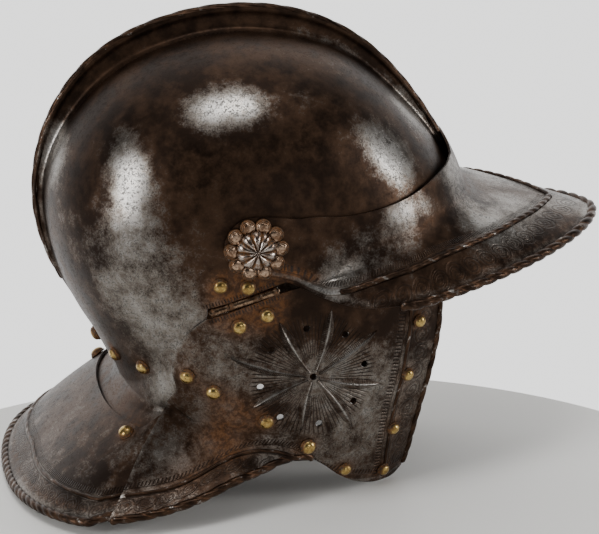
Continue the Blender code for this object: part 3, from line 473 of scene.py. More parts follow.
def plate_finish(name, ground, borders=(), comb_dots=False, hinge_ticks=False, fans=False):
    """Browned steel, bright where the mark of worn places is high and broken by pits, rusty by the rust mark.
    That mark also holds painted highlights, and painted shade where it is below zero.

    A border is a map whose second distance is 0 on a ridge, the pitch of the ticks beside it, where
    they begin and end, and the middle and size of the curls outside.
    """
    material, tree, shader, place = open_finish(name)
    wear, rust = mark(tree, "wear"), mark(tree, "rust")
    broad, small = cloud(place, 0.050, 3.0), cloud(place, 0.010, 5.0, 0.65)
    speck, fine = cloud(place, 0.0026, 4.0, 0.7), cloud(place, 0.0009, 3.0, 0.7)
    field = wear * 0.66 + ground + (broad - 0.5) * 0.9 + (small - 0.5) * 1.2 + (speck - 0.5) * 1.1
    cut = wear * 0.0
    for key, pitch, near, far, middle, size in borders:
        u, v = map_of(tree, key)
        ticks = u.lines(pitch, 0.34) * v.inside(near, far)
        if not size:
            cut = cut + ticks * 0.8 + v.made("ABSOLUTE").between(0.78, 0.95)
            continue
        sway = (cloud(place, 0.006, 2.0) - 0.5) * 0.30
        etched = curls(u + sway, v - middle - sway * 0.7, size) * 0.55 * (small + 0.4)
        lines = v.inside(-0.20, -0.15, 0.02) + v.inside(near - 0.09, near - 0.05, 0.02)
        cut = cut + ticks + etched + lines * 0.6
        field = field + etched * 0.18 + v.inside(-0.12, 0.12, 0.06) * 0.35
    if comb_dots:
        u, v = map_of(tree, "comb")
        cut = cut + u.lines(0.24, 0.45) * v.inside(-0.10, -0.03, 0.03)
    if fans:
        u, v = map_of(tree, "star")
        reach = (u * u + v * v).made("SQRT")
        rays = (v.made("ARCTAN2", u) + (small - 0.5) * 0.05).lines(2 * math.pi / 84, 0.22)
        cut = cut + rays * reach.between(0.9, 1.3) * (reach + (broad - 0.5) * 1.2).between(3.7, 3.3) * 0.8
    if hinge_ticks:
        u, v = map_of(tree, "hinge")
        ticks = u.lines(0.17, 0.34) * v.made("ABSOLUTE").inside(0.29, 0.52, 0.03)
        cut = cut + ticks * u.inside(-0.25, 3.75, 0.02)
    cut = cut.made("MINIMUM", 1.0)
    bright = field.between(0.20, 0.80) * (1.0 - cut * 0.85)
    pits = (fine * 0.55 + speck * 0.45).between(0.50, 0.58)
    stain = (rust * (small * 1.6 + 0.10) + (speck - 0.5) * 0.35).between(0.14, 0.92)
    brown = mixed((small + broad - 0.5).between(0.30, 0.70), BROWNED_DEEP, BROWNED)
    steel = mixed((field + (fine - 0.5) * 0.6).between(0.55, 1.15), BRIGHT_GREY, BRIGHT)
    steel = mixed(pits * (1.0 - bright * 0.35), steel, PIT)
    colour = mixed(bright, brown, steel)
    colour = mixed(stain * (1.0 - bright * 0.45), colour, mixed(speck.between(0.4, 0.62), RUST_DEEP, RUST))
    colour = mixed(cut * 0.85, colour, PIT)
    metal = 0.93 - stain * 0.55
    rough = 0.43 - bright * 0.15 + stain * 0.22 + (small - 0.5) * 0.22 + pits * 0.15
    height = (cloud(place, 0.035, 2.0) - 0.5) * 0.00055 + (small - 0.5) * 0.00007 + (speck - 0.5) * 0.00005
    close_finish(shader, colour, metal, rough, height - pits * bright * 0.00003 - cut * 0.00035)
    return material


def edge_finish(name, ground=0.0):
    """Roped and filed edges: bright on their crests, brown and rusty in their grooves."""
    material, tree, shader, place = open_finish(name)
    groove = mark(tree, "groove")
    small, speck = cloud(place, 0.009, 4.0), cloud(place, 0.0016, 4.0, 0.7)
    field = 0.30 + ground - groove * 1.2 + (small - 0.5) * 1.9 + (speck - 0.5) * 1.2
    bright = field.between(0.35, 0.75)
    brown = mixed(small.between(0.35, 0.65), BROWNED_DEEP, BROWNED)
    colour = mixed(bright, brown, mixed(speck.between(0.35, 0.6), BRIGHT_GREY, BRIGHT))
    stain = (groove * (cloud(place, 0.02, 3.0) * 1.5)).between(0.35, 0.85)
    colour = mixed(stain * 0.8, colour, mixed(speck, RUST_DEEP, RUST))
    height = (small - 0.5) * 0.0002 + (speck - 0.5) * 0.00008
    close_finish(shader, colour, 0.93 - stain * 0.5, 0.36 + groove * 0.2 + (speck - 0.5) * 0.2, height)
    return material


def laid_back(points):
    """From the frame that the helmet stands in back to its own frame, about the peak's axis."""
    p = np.asarray(points, float) - np.asarray(pivot)
    x = p[..., 0] * math.cos(PITCH) - p[..., 2] * math.sin(PITCH)
    z = p[..., 2] * math.cos(PITCH) + p[..., 0] * math.sin(PITCH)
    return np.stack([x, p[..., 1], z], axis=-1)


def nearness(points, spots):
    """How near points are to spots given as x, y, z in mm from the pivot, reach in mm and strength."""
    total = np.zeros(points.shape[:-1])
    for x, y, z, reach, strength in spots:
        gap = points * 1000 - np.array([x, y, z])
        total = total + strength * np.exp(-(gap**2).sum(axis=-1) / reach**2)
    return total


RIVET_RUST = [
    (*laid_back(sum(np.array(corner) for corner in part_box(node)) / 2) * 1000, 8.0, 0.75)
    for node in sorted(frame["nodes"]) if node.startswith("rivet_") and node.endswith(("_right", "_middle"))
]
HINGE_RUST = [(-8, -92, -31, 17, 0.75), (-18, -92, -35, 12, 0.5), (8, -92, -26, 12, 0.6)]
# Worn places of the skull, with painted highlights among them beside the comb at the front and on the
# comb's lit rear end: x, y and z in mm from the pivot, reach in mm, strength
SKULL_WEAR_AND_HIGHLIGHTS = [
    (-18, -68, 69, 15, 1.1), (-6, -66, 74, 12, 0.7), (3, -68, 70, 13, 0.8), (-26, -66, 70, 12, 0.6),
    (30, -60, 75, 9, 0.5), (74, -62, 44, 15, 1.0), (82, -63, 34, 15, 1.2), (62, -66, 54, 12, 0.4),
    (-66, -68, 39, 13, 1.2), (-67, -58, 52, 12, 0.8), (-65, -75, 22, 14, 1.1), (-58, -74, 40, 9, 0.5),
    (-98, -18, 28, 14, 1.2), (-95, -10, 42, 12, 0.8), (-90, -30, 8, 18, 0.4), (-45, -83, -30, 26, 0.55),
    (-49, -73, -58, 26, 0.75), (-70, -66, -35, 20, 0.6), (-45, -66, -92, 18, 1.0), (-55, -83, -4, 18, 0.4),
    (-24, -84, -46, 14, 0.5), (60, -30, 78, 16, 0.35), (90, -22, 60, 14, 0.45),
    (97, -22, 50, 15, 0.9), (103, -14, 36, 12, 0.5), (-78, -62, -6, 26, 0.6), (-62, -76, 2, 18, 0.35),
]
skull_finish = plate_finish("browned_skull", 0.02, comb_dots=True, hinge_ticks=True)
bare_inside = plate_finish("bare_inside", 0.0)
roped_finish = edge_finish("roped_steel")


def dress(piece, *finishes):
    """The piece's materials: the second is for its inner face."""
    piece.data.materials.clear()
    for finish in finishes:
        piece.data.materials.append(finish)


SLOT_STEPS, SIDE_STEPS = 16, 60
rays_turns = np.concatenate([np.linspace(BROW_ANGLE, 226, 150), np.linspace(227, SPLIT_ANGLE, 6)])
comb_foot = share_at(COMB_FOOT)


def crown_lines(degrees):
    """Lines from the pivot hole to the comb's foot, drawn together towards the tongue's corner."""
    degrees = np.asarray(degrees, float)
    outline = outline_radius(degrees)
    low = np.arcsin((HOLE_RADIUS / outline) ** (FULLNESS / 2))
    high = np.full_like(low, math.asin(comb_foot ** (FULLNESS / 2)))
    plain = low[:, None] + (high - low)[:, None] * np.linspace(0, 1, SIDE_STEPS + 1)
    grow = np.interp(degrees, (SPLIT_ANGLE, NAPE_ANGLE), (1.0, 1.07))
    split = np.arcsin((SPLIT_RADIUS * grow / outline) ** (FULLNESS / 2))
    first = low[:, None] + (split - low)[:, None] * np.linspace(0, 1, SLOT_STEPS + 1)
    rest = split[:, None] + (high - split)[:, None] * np.linspace(0, 1, SIDE_STEPS - SLOT_STEPS + 1)[1:]
    drawn = np.clip((degrees - 180) / (SPLIT_ANGLE - 180), 0, 1)[:, None]
    angle = plain * (1 - drawn) + np.concatenate([first, rest], axis=1) * drawn
    return at_turn(degrees[:, None], np.sin(angle) ** (2 / FULLNESS))


def comb_lines(degrees, count=22):
    """Lines over the comb from its foot to its top."""
    degrees = np.asarray(degrees, float)
    height = COMB_HEIGHT * np.interp(degrees, outline_turns, comb_shares)
    shaped = np.minimum(1.0, 2.5 * height / COMB_HEIGHT)[:, None]
    t = np.linspace(0, 1, count)
    section = through(np.linspace(0, 1, len(COMB_SECTION)), COMB_SECTION, t)
    depth = bowl_depth(comb_foot) * (shaped * np.maximum(section[:, 0], 0) + (1 - shaped) * (1 - t))
    out = outline_radius(degrees)[:, None] * share_at(depth) + height[:, None] * section[:, 1]
    turn = np.radians(degrees)[:, None]
    return np.stack([np.cos(turn) * out, -depth, np.sin(turn) * out], axis=-1)


def lengths_down(points):
    """How far each point of a grid lies along its row, from the row's first point."""
    step = np.linalg.norm(np.diff(points, axis=1), axis=-1)
    return np.concatenate([np.zeros((len(points), 1)), np.cumsum(step, axis=1)], axis=1)


def lengths_beside(points):
    """How far along the grid each row lies, measured on its last column."""
    step = np.linalg.norm(np.diff(points[:, -1], axis=0), axis=-1)
    return np.concatenate([[0], np.cumsum(step)])[:, None]


def paired(first, second):
    """Two values for each point of a grid."""
    return np.stack(np.broadcast_arrays(first, second), axis=-1)


def close_to(value, middle, reach):
    """1 where a value is at the middle, falling to 0 on both sides."""
    return np.exp(-(((value - middle) / reach) ** 2))


def beside_hinge(points):
    """How far points lie along the hinge and away from it in the side view."""
    places = points[..., ::2] - HINGE_REAR
    return paired(places @ hinge_run, places @ hinge_away)


crown = crown_lines(rays_turns)
nape = crown_lines([SPLIT_ANGLE, NAPE_ANGLE])
comb = comb_lines(np.concatenate([rays_turns, [NAPE_ANGLE]]))
comb[:, -1, 1] = 0.0
slot_ends = np.concatenate([nape[0, SLOT_STEPS, ::2][None], slot_line(np.linspace(0.04, 1.06, 14), 1)])
slots = np.concatenate([nape[:1, : SLOT_STEPS + 1], lines_to(slot_ends[1:], SLOT_STEPS + 1)])
corner_line = slots[-1:, np.minimum(np.arange(SIDE_STEPS + 1), SLOT_STEPS)]
brow = lines_to(along(BROW_EDGE, np.linspace(0, 1, 34)), SIDE_STEPS + 1)
front = np.concatenate([corner_line, brow, crown[:1]])
reach = np.linalg.norm(nape[1, SLOT_STEPS:] - nape[1, SLOT_STEPS], axis=-1)
inner_ends, outer_ends = along(TONGUE_EDGE, np.linspace(0, 1, 24)), along(WAIST_EDGE, np.linspace(0, 1, 24))
spread = (reach / reach[-1])[None, :, None]
places = inner_ends[:, None] * (1 - spread) + outer_ends[:, None] * spread
tongue = np.concatenate([nape[1:, SLOT_STEPS:], on_bowl(places[..., 0], places[..., 1])])
waist = np.concatenate([comb[-1][::-1], tongue[1:, -1]])
side = 0.97 * np.arcsin(np.minimum(1.0, waist[:, 1] / waist[-1, 1]) ** (FULLNESS / 2)) / (math.pi / 2)
corner = 1 + 2.2 * np.clip((side - 0.72) / 0.2, 0, 1)
low = [neck_point(side, v, -(WALL + PLATE_GAP)) for v in (-0.10 + 0 * side, 0 * side, 0.10 * corner)]
for line in low:
    line[0, 1] = 0.0
lines = [line.reshape(-1) for line in (waist, *low)]
skirt = through((0, 0.5, 0.75, 1), lines, np.linspace(0, 1, 9))
skirt = skirt.reshape(9, -1, 3).transpose(1, 0, 2)

skull_plates = []
for name, points in {
    "crown": crown, "comb": comb, "slots": slots, "front": front, "beside": nape[:, SLOT_STEPS:],
    "tongue": tongue, "skirt": skirt,
}.items():
    from_foot, beside_comb = -0.05, 0.0
    if name == "crown":
        from_foot, beside_comb = lengths_down(points) - lengths_down(points)[:, -1:], lengths_beside(points)
    if name == "comb":
        from_foot, beside_comb = lengths_down(points), lengths_beside(points[:, :1])
    # A painted highlight runs along the comb's foot over its front and rear parts, added to the mark of worn
    # places.
    comb_foot_highlight = np.interp(beside_comb, (0.10, 0.16, 0.24, 0.28), (0.6, 0, 0, 0.6))
    maps = {"comb": paired(beside_comb, from_foot) * 100, "hinge": beside_hinge(points) * 100}
    marks = {
        "wear": nearness(points, SKULL_WEAR_AND_HIGHLIGHTS) + close_to(from_foot, 0.003, 0.004) * comb_foot_highlight,
        "rust": nearness(points, RIVET_RUST + HINGE_RUST) + (0.25 if name == "skirt" else 0.0),
    }
    skull_plates.append(lay_plate(name, points, maps, marks))
skull = weld("skull_bowl", skull_plates, (0, 0, -0.02))
dress(skull, skull_finish, bare_inside)
both_halves(skull)
give_wall(skull)
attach(skull, "skull")
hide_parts("skull")

# A roped edge is the steel plate's own edge, turned over a wire and filed across at a slant so that
# it looks like a twisted cord. Wear keeps its crests bright, and rust stays in its grooves.
ROPE_STEP = 0.0008
COMB_ROPE_SINK = 0.0016


def roped(name, line, radius, lay, strands, depth, sides=18, out=(0.0, 0.3, 1.0)):
    """A twisted round edge along a line: lay is the length of one full turn of a strand."""
    length = np.linalg.norm(np.diff(line, axis=0), axis=1).sum()
    line = along(line, np.linspace(0, 1, int(length / ROPE_STEP) + 1))
    ahead = np.gradient(line, axis=0)
    ahead /= np.linalg.norm(ahead, axis=1, keepdims=True)
    length = np.concatenate([[0], np.cumsum(np.linalg.norm(np.diff(line, axis=0), axis=1))])
    side = np.empty_like(line)
    guide = np.asarray(out, float)
    for k, way in enumerate(ahead):
        guide = guide - way * guide.dot(way)
        guide = guide / np.linalg.norm(guide)
        side[k] = guide
    across = np.cross(ahead, side)
    turn = np.linspace(0, 2 * math.pi, sides + 1)
    phase = strands * (turn[None, :] - 2 * math.pi * length[:, None] / lay)
    crest = np.abs(np.cos(phase / 2)) ** 0.55
    ends = np.minimum(length, length[-1] - length)
    taper = np.sqrt(np.clip(1 - (1 - np.clip(ends / radius, 0, 1)) ** 2, 0, 1)) + 1e-4
    size = radius * taper[:, None] * (1 - depth * (1 - crest))
    ring = side[:, None] * np.cos(turn)[None, :, None] + across[:, None] * np.sin(turn)[None, :, None]
    made = weld(name, [lay_plate(name, line[:, None] + ring * size[..., None], None, {"groove": 1 - crest})])
    bpy.ops.object.mode_set(mode="EDIT")
    bpy.ops.mesh.select_all(action="SELECT")
    bpy.ops.mesh.fill_holes(sides=0)
    bpy.ops.mesh.normals_make_consistent(inside=False)
    bpy.ops.object.mode_set(mode="OBJECT")
    smooth(made, 60)
    dress(made, roped_finish)
    return made


comb_turns = np.linspace(205, 9, 260)
toward = np.stack([np.cos(np.radians(comb_turns)), 0 * comb_turns, np.sin(np.radians(comb_turns))], axis=-1)
comb_top = comb_lines(comb_turns)[:, -1] - toward * COMB_ROPE_SINK
comb_rope = roped("comb_rope", comb_top, radius=0.0026, lay=0.045, strands=3, depth=0.24, out=(-1, 0, 0))
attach(comb_rope, "skull")

# The neck plate is a second steel plate that slopes out over the back of the neck. It is riveted
# outside the skull's lower edge, and its own lower edge is turned and roped.
NECK_SHARE = 0.66
CHEEK_REAR = laid_out([
    (-0.2723, -0.4241), (-0.3455, -0.4921), (-0.4031, -0.5864), (-0.4346, -0.6911), (-0.4346, -0.7853),
    (-0.4188, -0.8691), (-0.4607, -0.9634),
])
CHEEK_REAR_LOW = laid_out([
    (-0.4607, -0.9634), (-0.5445, -1.0785), (-0.6597, -1.2461), (-0.7728, -1.4241), (-0.8628, -1.5340),
])
CHEEK_TOP_FRONT = laid_out([(0.3141, -0.2461), (0.5445, -0.2775), (0.8063, -0.3141), (1.0942, -0.3613)])
CHEEK_CREASE = laid_out([
    (-0.4607, -0.9634), (-0.2932, -1.0785), (-0.1047, -1.1309), (0.1257, -1.1728), (0.3455, -1.2251),
    (0.5864, -1.3194), (0.7958, -1.3613), (0.9634, -1.3298),
])
CHEEK_EDGE = laid_out([
    (-0.8628, -1.5340), (-0.6283, -1.5089), (-0.3351, -1.4419), (-0.1560, -1.3822), (0.0105, -1.3518),
    (0.1812, -1.3120), (0.3351, -1.3330), (0.4115, -1.3843), (0.5183, -1.4775), (0.6283, -1.5445),
    (0.7853, -1.5832), (0.8702, -1.5759), (0.9215, -1.5340),
])
CHEEK_FRONT = laid_out([
    (1.0942, -0.3613), (1.1058, -0.4932), (1.0995, -0.6209), (1.0754, -0.7780), (1.0513, -0.9058),
    (1.0126, -1.0681), (0.9843, -1.2073), (0.9634, -1.3298),
])
CHEEK_FRONT_LOW = laid_out([(0.9634, -1.3298), (0.9476, -1.4346), (0.9215, -1.5340)])
# Along X as a share of the crown radius, reach from the middle as a share of the half width
FLANGE_REACH = [
    (-0.8628, 1.1344), (-0.6283, 1.1344), (-0.3351, 1.1022), (-0.1560, 1.0484), (0.0105, 0.9731),
    (0.1812, 0.9032), (0.3351, 0.8387),
]
CHEEK_TOP = np.concatenate([CHEEK_REAR[:1], slot_line((0.3, 0.7, 1.05), -1), CHEEK_TOP_FRONT])


def cheek_lift(x):
    """The cheekpiece lies on the skull behind the hinge and flush with it in front."""
    return through((-0.030, -0.022, 0.004, 0.020), (1.0, 1.0, 0.25, 0.2), x) * (WALL + PLATE_GAP)


def patch_place(u, v, top, bottom, rear, front):
    """Places in a four-sided patch of the side view, u from rear to front, v from the top."""
    u, v = np.asarray(u, float)[..., None], np.asarray(v, float)[..., None]
    t, b = along(top, u[..., 0]), along(bottom, u[..., 0])
    r, f = along(rear, v[..., 0]), along(front, v[..., 0])
    corners = (1 - v) * ((1 - u) * top[0] + u * top[-1]) + v * ((1 - u) * bottom[0] + u * bottom[-1])
    return (1 - v) * t + v * b + (1 - u) * r + u * f - corners


def cheek_face(u, v):
    """The right cheekpiece's outer face: v from 0 to 1 down to the flange's crease, 2 at the edge."""
    u, v = np.broadcast_arrays(np.asarray(u, float), np.asarray(v, float))
    place = patch_place(u, np.minimum(v, 1), CHEEK_TOP, CHEEK_CREASE, CHEEK_REAR, CHEEK_FRONT)
    x, z = place[..., 0], place[..., 1]
    plate = on_bowl(x, z, cheek_lift(x))
    down = np.clip(v - 1, 0, 1)
    place = patch_place(u, down, CHEEK_CREASE, CHEEK_EDGE, CHEEK_REAR_LOW, CHEEK_FRONT_LOW)
    x, z = place[..., 0], place[..., 1]
    flat = on_bowl(x, z, cheek_lift(x))
    edge_x = along(CHEEK_EDGE, u)[..., 0]
    crease = along(CHEEK_CREASE, u)
    top_y = on_bowl(crease[..., 0], crease[..., 1])[..., 1] - cheek_lift(crease[..., 0])
    flange_x = CROWN_RADIUS * np.array(FLANGE_REACH)[:, 0]
    edge_y = -HALF_WIDTH * through(flange_x, np.array(FLANGE_REACH)[:, 1], edge_x)
    ease = 0.4 * down + 0.6 * down * down
    flare = np.stack([x, top_y + (edge_y - top_y) * ease, z], axis=-1)
    blend = np.clip((edge_x - flange_x[-1] + 0.006) / 0.012, 0, 1)[..., None]
    flange = flare * (1 - blend) + flat * blend
    return np.where((v <= 1)[..., None], plate, flange)


def cheek_point(u, v, lift=0.0):
    """Points lifted off the cheekpiece's outer face."""
    u, v = np.broadcast_arrays(np.asarray(u, float), np.asarray(v, float))
    step = 0.01
    across = cheek_face(np.minimum(u + step, 1), v) - cheek_face(np.maximum(u - step, 0), v)
    down = cheek_face(u, np.minimum(v + step, 2)) - cheek_face(u, np.maximum(v - step, 0))
    normal = np.cross(across, down)
    normal /= np.linalg.norm(normal, axis=-1, keepdims=True)
    normal = np.where(normal[..., 1:2] > 0, -normal, normal)
    return cheek_face(u, v) + normal * np.broadcast_to(lift, u.shape)[..., None]


def over_middle(right):
    """The line of the right side carried on over the left."""
    return np.concatenate([right, (right * [1, -1, 1])[::-1][1:]])


def line_on(points, side_map):
    """On every row of a grid, the point where the map's second value is 0."""
    made = []
    for row, beside in zip(points, side_map[..., 1]):
        order = np.argsort(beside)
        made.append([np.interp(0.0, beside[order], row[order, k]) for k in range(3)])
    return np.array(made)


def bead(name, line, radius, lay, strands, depth):
    """A raised ridge along a plate: a cord that is half sunk in it."""
    right = line[::-1]
    if abs(right[-1, 1]) < 1e-4:
        right = over_middle(right)
    return roped(name, right, radius, lay, strands, depth, sides=12)


neck_columns = np.concatenate([np.linspace(0, 0.93, 110), [0.95]])
neck_rows = np.linspace(0, 1, 48)
plate = neck_point(neck_columns[:, None], neck_rows[None, :])
under_rows = 1.12 + (NECK_SHARE + 0.15) * neck_rows
under = cheek_point(np.linspace(0.0, 0.07, 12)[:, None], under_rows[None, :], -(WALL + PLATE_GAP))
gap = (under[:1] - plate[-2:-1]) * np.array([0.35, 0.7])[:, None, None]
plate = np.concatenate([plate[:-1], plate[-2:-1] + gap, under])
along_rim, from_rim = lengths_beside(plate), lengths_down(plate)[:, -1:] - lengths_down(plate)
# Along the rim from the middle of the back, and the ridge's distance from the rim, in m
NECK_RIDGE = [(0.0, 0.0205), (0.040, 0.0170), (0.087, 0.0150), (0.125, 0.0122)]
NECK_WEAR = [
    (-100, -70, -130, 30, 0.35), (-112, -30, -145, 25, 0.35), (-88, -90, -146, 18, 0.4),
    (-60, -75, -115, 18, 0.35),
]
ridge_map = paired(along_rim, from_rim - through(*zip(*NECK_RIDGE), along_rim))
neck_marks = {
    "wear": nearness(plate, NECK_WEAR) + 0.4 * close_to(from_rim, 0.003, 0.003),
    "rust": nearness(plate, RIVET_RUST) + 0.45 * close_to(from_rim, 0.006, 0.004),
}
neck_sheet = lay_plate("neck_flange", plate, {"ridge": ridge_map * 100}, neck_marks)
neck_plate = weld("neck_flange", [neck_sheet], (0, 0, -0.4))
neck_finish = plate_finish("browned_neck_plate", 0.10, [("ridge", 0.19, 0.26, 0.58, -0.72, 0.95)])
dress(neck_plate, neck_finish, bare_inside)
both_halves(neck_plate)
give_wall(neck_plate)
right_edge = plate[:-7, -1][::-1] - [0, 0, WALL / 2]
neck_rope = roped("neck_rope", over_middle(right_edge), radius=0.0026, lay=0.020, strands=3, depth=0.32)
neck_line = line_on(plate[:-9], ridge_map[:-9])
neck_bead = bead("neck_ridge", neck_line, radius=0.0011, lay=0.020, strands=2, depth=0.06)
for piece in (neck_plate, neck_rope, neck_bead):
    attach(piece, "skull")
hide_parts("neck_plate")

# The peak turns on the pivots at the temples. It is one steel plate: a brow band that stands off the
# skull, an arm to each pivot, and a brim whose edge is turned and roped.
PEAK_CENTRE = 0.628 * CROWN_RADIUS
PEAK_REACH = 0.1435
PEAK_HALF_WIDTH = 0.102
PEAK_POINTING = 1.65
PEAK_TIP_DROP = 0.0157
PEAK_SIDE_DROP = 0.0345
LOBE_RADIUS = 0.017
PEAK_GAP = 0.0010
BAND_STAND_OFF = 0.0062
# Share of the way from pivot to middle, degrees about the pivot, share of the stand-off
BAND_TOP = [
    (0.26, 31.0, 0.0), (0.413, 16.5, 0.0), (0.552, 12.1, 0.05), (0.65, 11.1, 0.12), (0.754, 11.0, 0.25),
    (0.84, 11.5, 0.42), (0.91, 11.7, 0.62), (0.965, 11.8, 0.82), (0.99, 12.6, 0.95), (1.0, 14.6, 1.0),
]
BAND_CREASE = [
    (0.20, -38.5, 0.42), (0.268, -24.7, 0.42), (0.333, -15.3, 0.38), (0.428, -6.35, 0.34),
    (0.567, -1.6, 0.34), (0.712, 0.6, 0.4), (0.815, 2.0, 0.5), (0.93, 2.3, 0.62), (1.0, 1.1, 0.70),
]
# Share on the band, degrees of the plan on the roped edge
PEAK_COLUMNS = [
    (0.27, 118.0), (0.335, 108.0), (0.41, 99.0), (0.49, 91.0), (0.57, 83.0), (0.65, 75.0), (0.73, 66.0),
    (0.80, 56.0), (0.86, 46.5), (0.91, 37.0), (0.95, 28.0), (0.977, 20.0), (0.993, 12.0), (0.999, 6.0),
    (1.0, 0.0),
]
# Share of the way from crease to edge, dip below the straight line
BRIM = [(0.0, 0.0), (0.07, 0.0014), (0.22, 0.0022), (0.45, 0.0006), (0.72, -0.0004), (1.0, 0.0)]
# Place along X, then top, middle and bottom of the arm, as shares of the lobe's radius
ARM = [
    (-0.97, 0.24, 0.0, -0.24), (-0.72, 0.69, 0.0, -0.69), (-0.35, 0.94, 0.0, -0.94),
    (0.10, 1.0, 0.0, -1.0), (0.60, 0.97, -0.3, -1.06), (1.10, 0.90, -0.75, -1.20),
]
WING_BACK = 0.033
WING_OUT = 0.0045
WING_RISE = 0.0105
DROP_REACH = 0.027


def stand_off(share):
    """How far the band's outer face stands off the bowl."""
    least = WALL + PEAK_GAP
    return least + (BAND_STAND_OFF - least) * share


def peak_edge(degrees):
    """The peak's lower edge in plan, degrees from the front."""
    degrees = np.asarray(degrees, float)
    turn = np.radians(np.minimum(degrees, 90.0))
    x = PEAK_CENTRE + PEAK_REACH * np.maximum(np.cos(turn), 0) ** (2 / PEAK_POINTING)
    y = -PEAK_HALF_WIDTH * np.sin(turn) ** (2 / PEAK_POINTING)
    share = np.minimum(1.0, (PEAK_CENTRE + PEAK_REACH - x) / (PEAK_REACH - DROP_REACH))
    drop = PEAK_TIP_DROP + (PEAK_SIDE_DROP - PEAK_TIP_DROP) * share
    back = np.maximum(degrees - 90, 0) / 28
    return np.stack([x - WING_BACK * back, y + WING_OUT * back**2, WING_RISE * back**1.5 - drop], axis=-1)


def band_at(share, across):
    """Points of the band at shares from the pivot, across from 0 at its top edge to 1 at the crease."""
    top = through(np.array(BAND_TOP)[:, 0], np.array(BAND_TOP)[:, 1:], share)
    low = through(np.array(BAND_CREASE)[:, 0], np.array(BAND_CREASE)[:, 1:], share)
    mix = top * (1 - across[..., None]) + low * across[..., None]
    return at_turn(mix[..., 0], share, stand_off(mix[..., 1]))


def brim_between(crease, edge, down):
    dip = through(*zip(*BRIM), down)
    made = crease * (1 - down[..., None]) + edge * down[..., None]
    made[..., 2] = made[..., 2] - dip
    return made


band_rows = np.linspace(0, 1, 16)
brim_rows = np.concatenate([np.linspace(0, 0.22, 14), np.linspace(0.22, 1, 40)[1:]])
grid = []
for x, top, middle, bottom in through(np.linspace(0, 1, len(ARM)), ARM, np.linspace(0, 1, 40)) * LOBE_RADIUS:
    height = np.concatenate([top + (middle - top) * band_rows, middle + (bottom - middle) * brim_rows[1:]])
    grid.append(on_bowl(x, height, np.full(len(height), stand_off(0.0))))
columns = through(np.linspace(0, 1, len(PEAK_COLUMNS)), PEAK_COLUMNS, np.linspace(0, 1, 150))
band = band_at(*np.broadcast_arrays(columns[:, :1], band_rows))
brim = brim_between(band[:, -1:], peak_edge(columns[:, 1])[:, None], brim_rows[None])
fan = np.concatenate([band, brim[:, 1:]], axis=1)
bridge = [grid[-1] * (1 - t) + fan[0] * t for t in (0.25, 0.5, 0.75)]
grid = np.concatenate([np.array(grid), np.array(bridge), fan])
grid[-1, :, 1] = 0.0
down = lengths_down(grid)
along_rim, from_rim = lengths_beside(grid)[-1] - lengths_beside(grid), down[:, -1:] - down
from_crease = down - down[:, len(band_rows) - 1 : len(band_rows)]
# Along the rim from the tip, and the ridge's distance from the rim, in m
PEAK_RIDGE = [
    (0.0, 0.0250), (0.010, 0.0276), (0.035, 0.0296), (0.055, 0.0292), (0.074, 0.0268), (0.098, 0.0241),
    (0.116, 0.0226), (0.146, 0.0201), (0.170, 0.0178), (0.189, 0.0136), (0.202, 0.0075), (0.212, 0.0035),
]
PEAK_WEAR = [
    (81, -78, 10, 12, 1.0), (96, -68, 12, 8, 0.6), (117, -33, 25, 14, 1.0), (112, -46, 21, 10, 0.5),
    (47, -95, -15, 13, 0.8), (62, -88, -11, 12, 0.5), (128, -48, -1, 18, 0.7), (158, -24, -6, 20, 0.8),
    (135, -58, -8, 20, 0.5), (192, -8, -13, 16, 0.8), (150, -50, -10, 20, 0.5), (82, -84, -9, 14, 0.4),
    (40, -98, -22, 12, 0.6), (60, -88, 2, 9, 0.4),
]
ridge_map = paired(along_rim, from_rim - through(*zip(*PEAK_RIDGE), along_rim))
peak_marks = {
    "wear": nearness(grid, PEAK_WEAR) + 0.35 * close_to(from_rim, 0.003, 0.003),
    "rust": nearness(grid, HINGE_RUST + [(0, -90, 0, 22, 0.5)]) + 0.35 * close_to(from_crease, 0.001, 0.004)
    + 0.35 * close_to(from_rim, 0.006, 0.004),
}
peak_sheet = lay_plate("peak_plate", grid, {"ridge": ridge_map * 100}, peak_marks)
peak = weld("peak_plate", [peak_sheet], (0, 0, -0.06))
peak_finish = plate_finish("browned_peak", 0.08, [("ridge", 0.19, 0.30, 0.66, -1.20, 1.25)])
dress(peak, peak_finish, bare_inside)
both_halves(peak)
give_wall(peak)
right_edge = peak_edge(np.linspace(80.0, 0.0, 160)) - [0, 0, WALL / 2]
peak_rope = roped("peak_rope", over_middle(right_edge), radius=0.0028, lay=0.019, strands=2, depth=0.36)
ridge_rows = np.flatnonzero(along_rim[:, 0] < 0.206)[::-1]
peak_line = line_on(grid[ridge_rows], ridge_map[ridge_rows])
peak_bead = bead("peak_ridge", peak_line, radius=0.0018, lay=0.015, strands=2, depth=0.34)
for piece in (peak, peak_rope, peak_bead):
    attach(piece, "peak")
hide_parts("peak")

# The cheekpieces hang on hinges at the skull. Each is one steel plate that curves round the cheek and
# flares out below into a flange, with turned and roped edges below and in front.
STAR_MIDDLE = laid_out((0.3372, -0.8042))
STAR_HOLE_RADIUS = 0.00195
STAR_CIRCLE = 0.0292
STAR_TURN = 8.0
FLANGE_SHARE = 0.66
CREASE_ROW = 109


def cheek_seat(x, z):
    """Where a place in the side view lies on the cheekpiece, and the face's normal there."""
    u, v, step = 0.5, 0.7, 0.004
    for _ in range(16):
        here = cheek_face(u, v)
        to_u = (cheek_face(u + step, v) - here) / step
        to_v = (cheek_face(u, v + step) - here) / step
        det = to_u[0] * to_v[2] - to_v[0] * to_u[2]
        gap_x, gap_z = x - here[0], z - here[2]
        u = float(np.clip(u + 0.8 * (gap_x * to_v[2] - to_v[0] * gap_z) / det, 0.01, 0.99))
        v = float(np.clip(v + 0.8 * (to_u[0] * gap_z - gap_x * to_u[2]) / det, 0.01, 1.99))
    seat = cheek_face(u, v)
    normal = cheek_point(u, v, 0.01) - seat
    return seat, normal / np.linalg.norm(normal)


